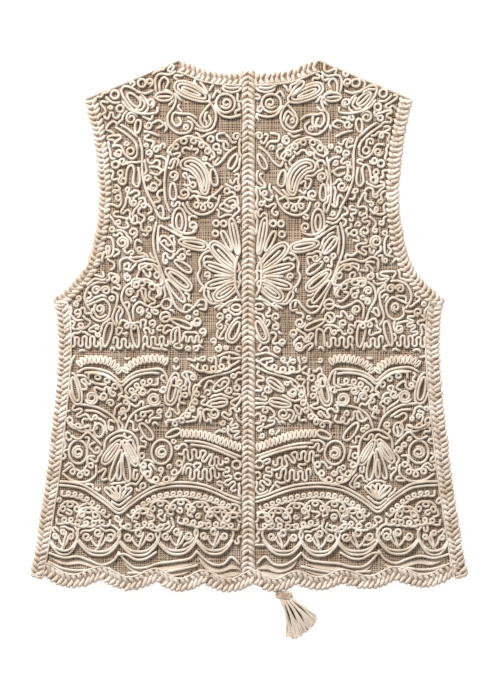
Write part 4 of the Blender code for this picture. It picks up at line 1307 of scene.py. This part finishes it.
def ribbed(name, side, finish):
    """One half's ribbed arcs, a loop at every pitch along each."""
    spots, turns = [], []
    for path in GIMP:
        length = length_of(path)
        spot, way, _ = along_path(path, np.arange(0.5, length / GIMP_PITCH) * GIMP_PITCH / length)
        for (x, drop), (dx, dd) in zip(spot, way):
            spots.append(world(side * x, drop, GIMP_LEVEL + ripple(side * x, drop)))
            yaw = math.atan2(-dd, side * dx) + math.radians(side * GIMP_LEAN)
            turns.append((0, math.radians(GIMP_TILT), yaw))
    base = bpy.data.objects.new("loop", loop_mesh())
    bpy.context.scene.collection.objects.link(base)
    points = bpy.data.meshes.new(name)
    points.from_pydata([tuple(map(float, p)) for p in spots], [], [])
    for key, rows in (("turn", turns), ("size", [GIMP_SIZE] * len(spots))):
        points.attributes.new(key, "FLOAT_VECTOR", "POINT").data.foreach_set("vector", np.ravel(rows))
    made = run_tree(name, ARC, points, {"Loop": base, "Finish": finish})
    bpy.data.objects.remove(base)
    return made


def tape(path, level, side, seed):
    """A strip along a path whose lower edge stands up in a fold, as rows of points across it."""
    spot, way, _ = along_path(path, np.linspace(0, 1, TAPE_POINTS))
    across = np.stack((-way[:, 1], way[:, 0]), 1)
    across *= np.sign(across[:, 1])[:, None]
    taper = np.clip(np.minimum(np.linspace(0, 6, TAPE_POINTS), np.linspace(6, 0, TAPE_POINTS)), 0.25, 1)
    rows = []
    for t, rise in TAPE_FOLD:
        place = spot + across * (t * TAPE_HALF * taper)[:, None]
        x, drop = side * place[:, 0], place[:, 1]
        pucker = 0.2 * np.sin(place[:, 0] / 5.5 + seed + 1.1 * t)
        rows.append(world(x, drop, level + ripple(x, drop) + rise * taper + pucker))
    return np.stack(rows, 1)


wide = len(TAPE_FOLD)
for side, word in ((-1, "left"), (1, "right")):
    arcs = ribbed(f"ribbed_arcs_{word}", side, cord_cotton)
    points, faces = [], []
    for seed, keys in enumerate(TAPES):
        for shift in (0.0, -TAPE_THICK):
            rows = tape(route(*keys), TAPE_LEVEL + shift, side, seed)
            start = sum(map(len, points))
            points.append(rows.reshape(-1, 3))
            firsts = [start + wide * i + k for i in range(TAPE_POINTS - 1) for k in range(wide - 1)]
            quads = [(n, n + 1, n + wide + 1, n + wide) for n in firsts]
            faces += [q if (shift == 0) == (side > 0) else q[::-1] for q in quads]
    tapes = add_mesh(f"draped_tapes_{word}", np.concatenate(points), faces, tape_cotton)
    for piece in (arcs, tapes):
        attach(piece, "root")
    over = [nets[word], cords[word], cords[f"{word}_filling"], cords[f"{word}_sewing"], arcs, tapes,
            braids[f"side_braid_{word}"], braids[f"armhole_braid_{word}_back"],
            braids[f"neck_braid_back_{word}"]]
    if side > 0:
        over += [braids["centre_braid"], braids["hem_braid_back"], edging, shoulders]
beneath = [nets["front"], *[braids[name] for name in braids if "front" in name or "under" in name]]

# ---------------------------------------------------------------- Tassel
# A tassel of the same cotton hangs from the fifth scallop: a skein tied to a loop of the braid, bound
# round its neck with thread, and cut to a fan that lies to the right.
HEAD_TOP, HEAD_FOOT = 616.6, 625.2
HEAD_X, HEAD_LEAN = 40.6, 2.2  # mm, its middle at the top, and how far that moves by the foot
HEAD_HALF, HEAD_HIGH, HEAD_LEVEL = 9.0, 3.3, 3.6  # mm
HEAD_SIDES = 20
BULGE = (0.70, 0.88, 0.98, 1.02, 1.02, 0.99, 0.93, 0.82, 0.66)  # share of its size, from top to foot
TURNS = 6  # of the thread bound round it
SKIRT, LOCKS = 56, 5  # strands, and the locks that they gather in
ROOT_X, ROOT_WIDTH, ROOT_DROP = 36.2, 13.0, 623.6
UNDER_LEVEL, OVER_LEVEL = 1.4, 3.4  # mm, height of the strands below and of those above
STRAND_LIFTS = (1.8, 0.3, 1.1)  # mm, by turns
# Columns: x, drop of the fan's cut end, left to right.
FAN = ((44.5, 671.0), (55, 671.4), (66.5, 664.3), (76, 655), (81.0, 645))
head_cotton = cotton("bound cotton thread", "#ECD8C3", "#CFB39A", sheen=0.1)
tassel_cotton = cotton("combed cotton thread", "#FBEDDD", "#E6D2BD", sheen=0.3, ply=3.0)
chance = random.Random(5)
rows, faces = [], []
for k, bulge in enumerate(BULGE):
    t = k / (len(BULGE) - 1)
    for n in range(HEAD_SIDES):
        turn = 2 * math.pi * n / HEAD_SIDES
        x = HEAD_X + HEAD_LEAN * t + HEAD_HALF * bulge * math.cos(turn)
        z = HEAD_LEVEL + HEAD_HIGH * bulge * math.sin(turn)
        rows.append((x, HEAD_TOP + (HEAD_FOOT - HEAD_TOP) * t, z))
        if k:
            a, b, after = (k - 1) * HEAD_SIDES, k * HEAD_SIDES, (n + 1) % HEAD_SIDES
            faces.append((a + n, b + n, b + after, a + after))
faces += [tuple(range(HEAD_SIDES)), tuple(range(len(rows) - 1, len(rows) - 1 - HEAD_SIDES, -1))]
head = add_mesh("tassel_head", world(*np.array(rows).T), faces, head_cotton)
around = np.linspace(0, 2 * math.pi, 29)
binding = [np.stack((HEAD_X + HEAD_LEAN * t + (9.3 - 6 * (t - 0.5) ** 2) * np.cos(around),
                     HEAD_TOP + 8.6 * t + 0.8 * np.cos(around), 3.8 + 3.1 * np.sin(around)), 1)
           for t in np.linspace(0.12, 0.9, TURNS)]
winding = tubes("tassel_binding", binding, 0.55, head_cotton, sides=6)
# Two loops of the tying cord stand up as lobes either side of the head.
knot = []
for x, turn in ((35.6, 0.4), (45.6, -0.5)):
    spin = np.array(((math.cos(turn), math.sin(turn)), (-math.sin(turn), math.cos(turn))))
    lobe = ring(0, 0, 3.6, 2.9) @ spin
    knot.append(np.column_stack((lobe + (x, 620.6), np.full(len(lobe), 5.6))))
lobes = tubes("tassel_knot", knot, 1.5, head_cotton)
fan = route(*FAN)
over, beneath = [], []
for k in range(SKIRT):
    under = k % 2
    share = (k + 0.5) / SKIRT
    share = 0.5 + (share - 0.5) * (0.86 if under else 1.0)
    lock = math.floor(share * LOCKS)
    within = share * LOCKS - lock - 0.5
    tip = along_path(fan, np.array([share]))[0][0]
    root = np.array((ROOT_X + ROOT_WIDTH * share, ROOT_DROP))
    tip = root + (tip - root) * (1.0 - chance.uniform(0, 0.035))
    t, wave = np.linspace(0, 1, 13), chance.uniform(0, 6.28)
    gathered = np.sin(math.pi * np.clip(t * 1.1, 0, 1)) * within * -3.2 * (1 - under)
    middle = root + (tip - root) * t[:, None]
    side = np.array((tip[1] - root[1], root[0] - tip[0])) / np.linalg.norm(tip - root)
    bow = 1.2 * np.sin(t * math.pi) + gathered + 0.7 * t * np.sin(t * 8 + wave)
    middle = middle + side * bow[:, None]
    if under:
        beneath.append(np.column_stack((middle, UNDER_LEVEL + 0 * t)))
        continue
    dome = 1.8 * (1 - 4 * within * within) * np.sin(math.pi * np.clip(t, 0.0, 0.9))
    height = OVER_LEVEL + STRAND_LIFTS[k // 2 % 3] + 0.5 * chance.uniform(0, 1) + dome
    over.append(np.column_stack((middle, height)))
skirt = tubes("tassel_skirt", over, 1.1, tassel_cotton, swell=(0.8, 1.0, 1.05, 0.9))
# The lower strands are coloured in the braid's darker shade colour: painted shade in the gaps between
# the strands above.
shaded_under_strands = tubes("tassel_skirt_under", beneath, 1.3, braid_shade, sides=6)
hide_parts("tassel")
for piece in (head, winding, lobes, skirt, shaded_under_strands):
    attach(piece, "root")

# ---------------------------------------------------------------- Studio
# A plain pale floor, one large soft light from the upper left and even light from all round.
floor_paint = bpy.data.materials.new("white paper")
floor_paint.use_nodes = True
shader = floor_paint.node_tree.nodes["Principled BSDF"]
shader.inputs["Base Color"].default_value = (0.95, 0.95, 0.95, 1)
shader.inputs["Emission Color"].default_value = (1, 1, 1, 1)
shader.inputs["Emission Strength"].default_value = 0.66
shader.inputs["Roughness"].default_value = 0.9
shader.inputs["Specular IOR Level"].default_value = 0.1
FLOOR_HALF, FLOOR_LEVEL = 3, -0.0004  # m
corners = [(x, y, FLOOR_LEVEL) for x, y in ((-FLOOR_HALF, -FLOOR_HALF), (FLOOR_HALF, -FLOOR_HALF),
                                            (FLOOR_HALF, FLOOR_HALF), (-FLOOR_HALF, FLOOR_HALF))]
floor = add_mesh("floor", corners, [(0, 1, 2, 3)], floor_paint, smooth=False)


def area_light(name, place, size, watts):
    """A square soft light aimed at the middle of the garment."""
    lamp = bpy.data.lights.new(name, "AREA")
    lamp.size, lamp.energy = size, watts
    made = bpy.data.objects.new(name, lamp)
    made.location = place
    made.rotation_euler = (-Vector(place)).to_track_quat("-Z", "Y").to_euler()
    bpy.context.scene.collection.objects.link(made)
    return made


area_light("key", (-1.3, 2.6, 1.75), 0.6, 150)
sky = bpy.data.worlds.new("even light")
sky.use_nodes = True
sky.node_tree.nodes["Background"].inputs["Color"].default_value = (1, 1, 1, 1)
sky.node_tree.nodes["Background"].inputs["Strength"].default_value = 0.36
bpy.context.scene.world = sky
bpy.context.scene.view_settings.view_transform = "Standard"

FOCAL, SENSOR = 120, 36  # mm
VIEW_HEIGHT, CLOTH_TOP = 0.812, 0.005  # m, the height that the view covers and the level it is for
lens = bpy.data.cameras.new("camera")
lens.lens = FOCAL
lens.clip_end = 20
camera = bpy.data.objects.new("camera", lens)
camera.location = (0.0017, -0.0004, VIEW_HEIGHT * FOCAL / SENSOR + CLOTH_TOP)
bpy.context.scene.collection.objects.link(camera)
bpy.context.scene.camera = camera
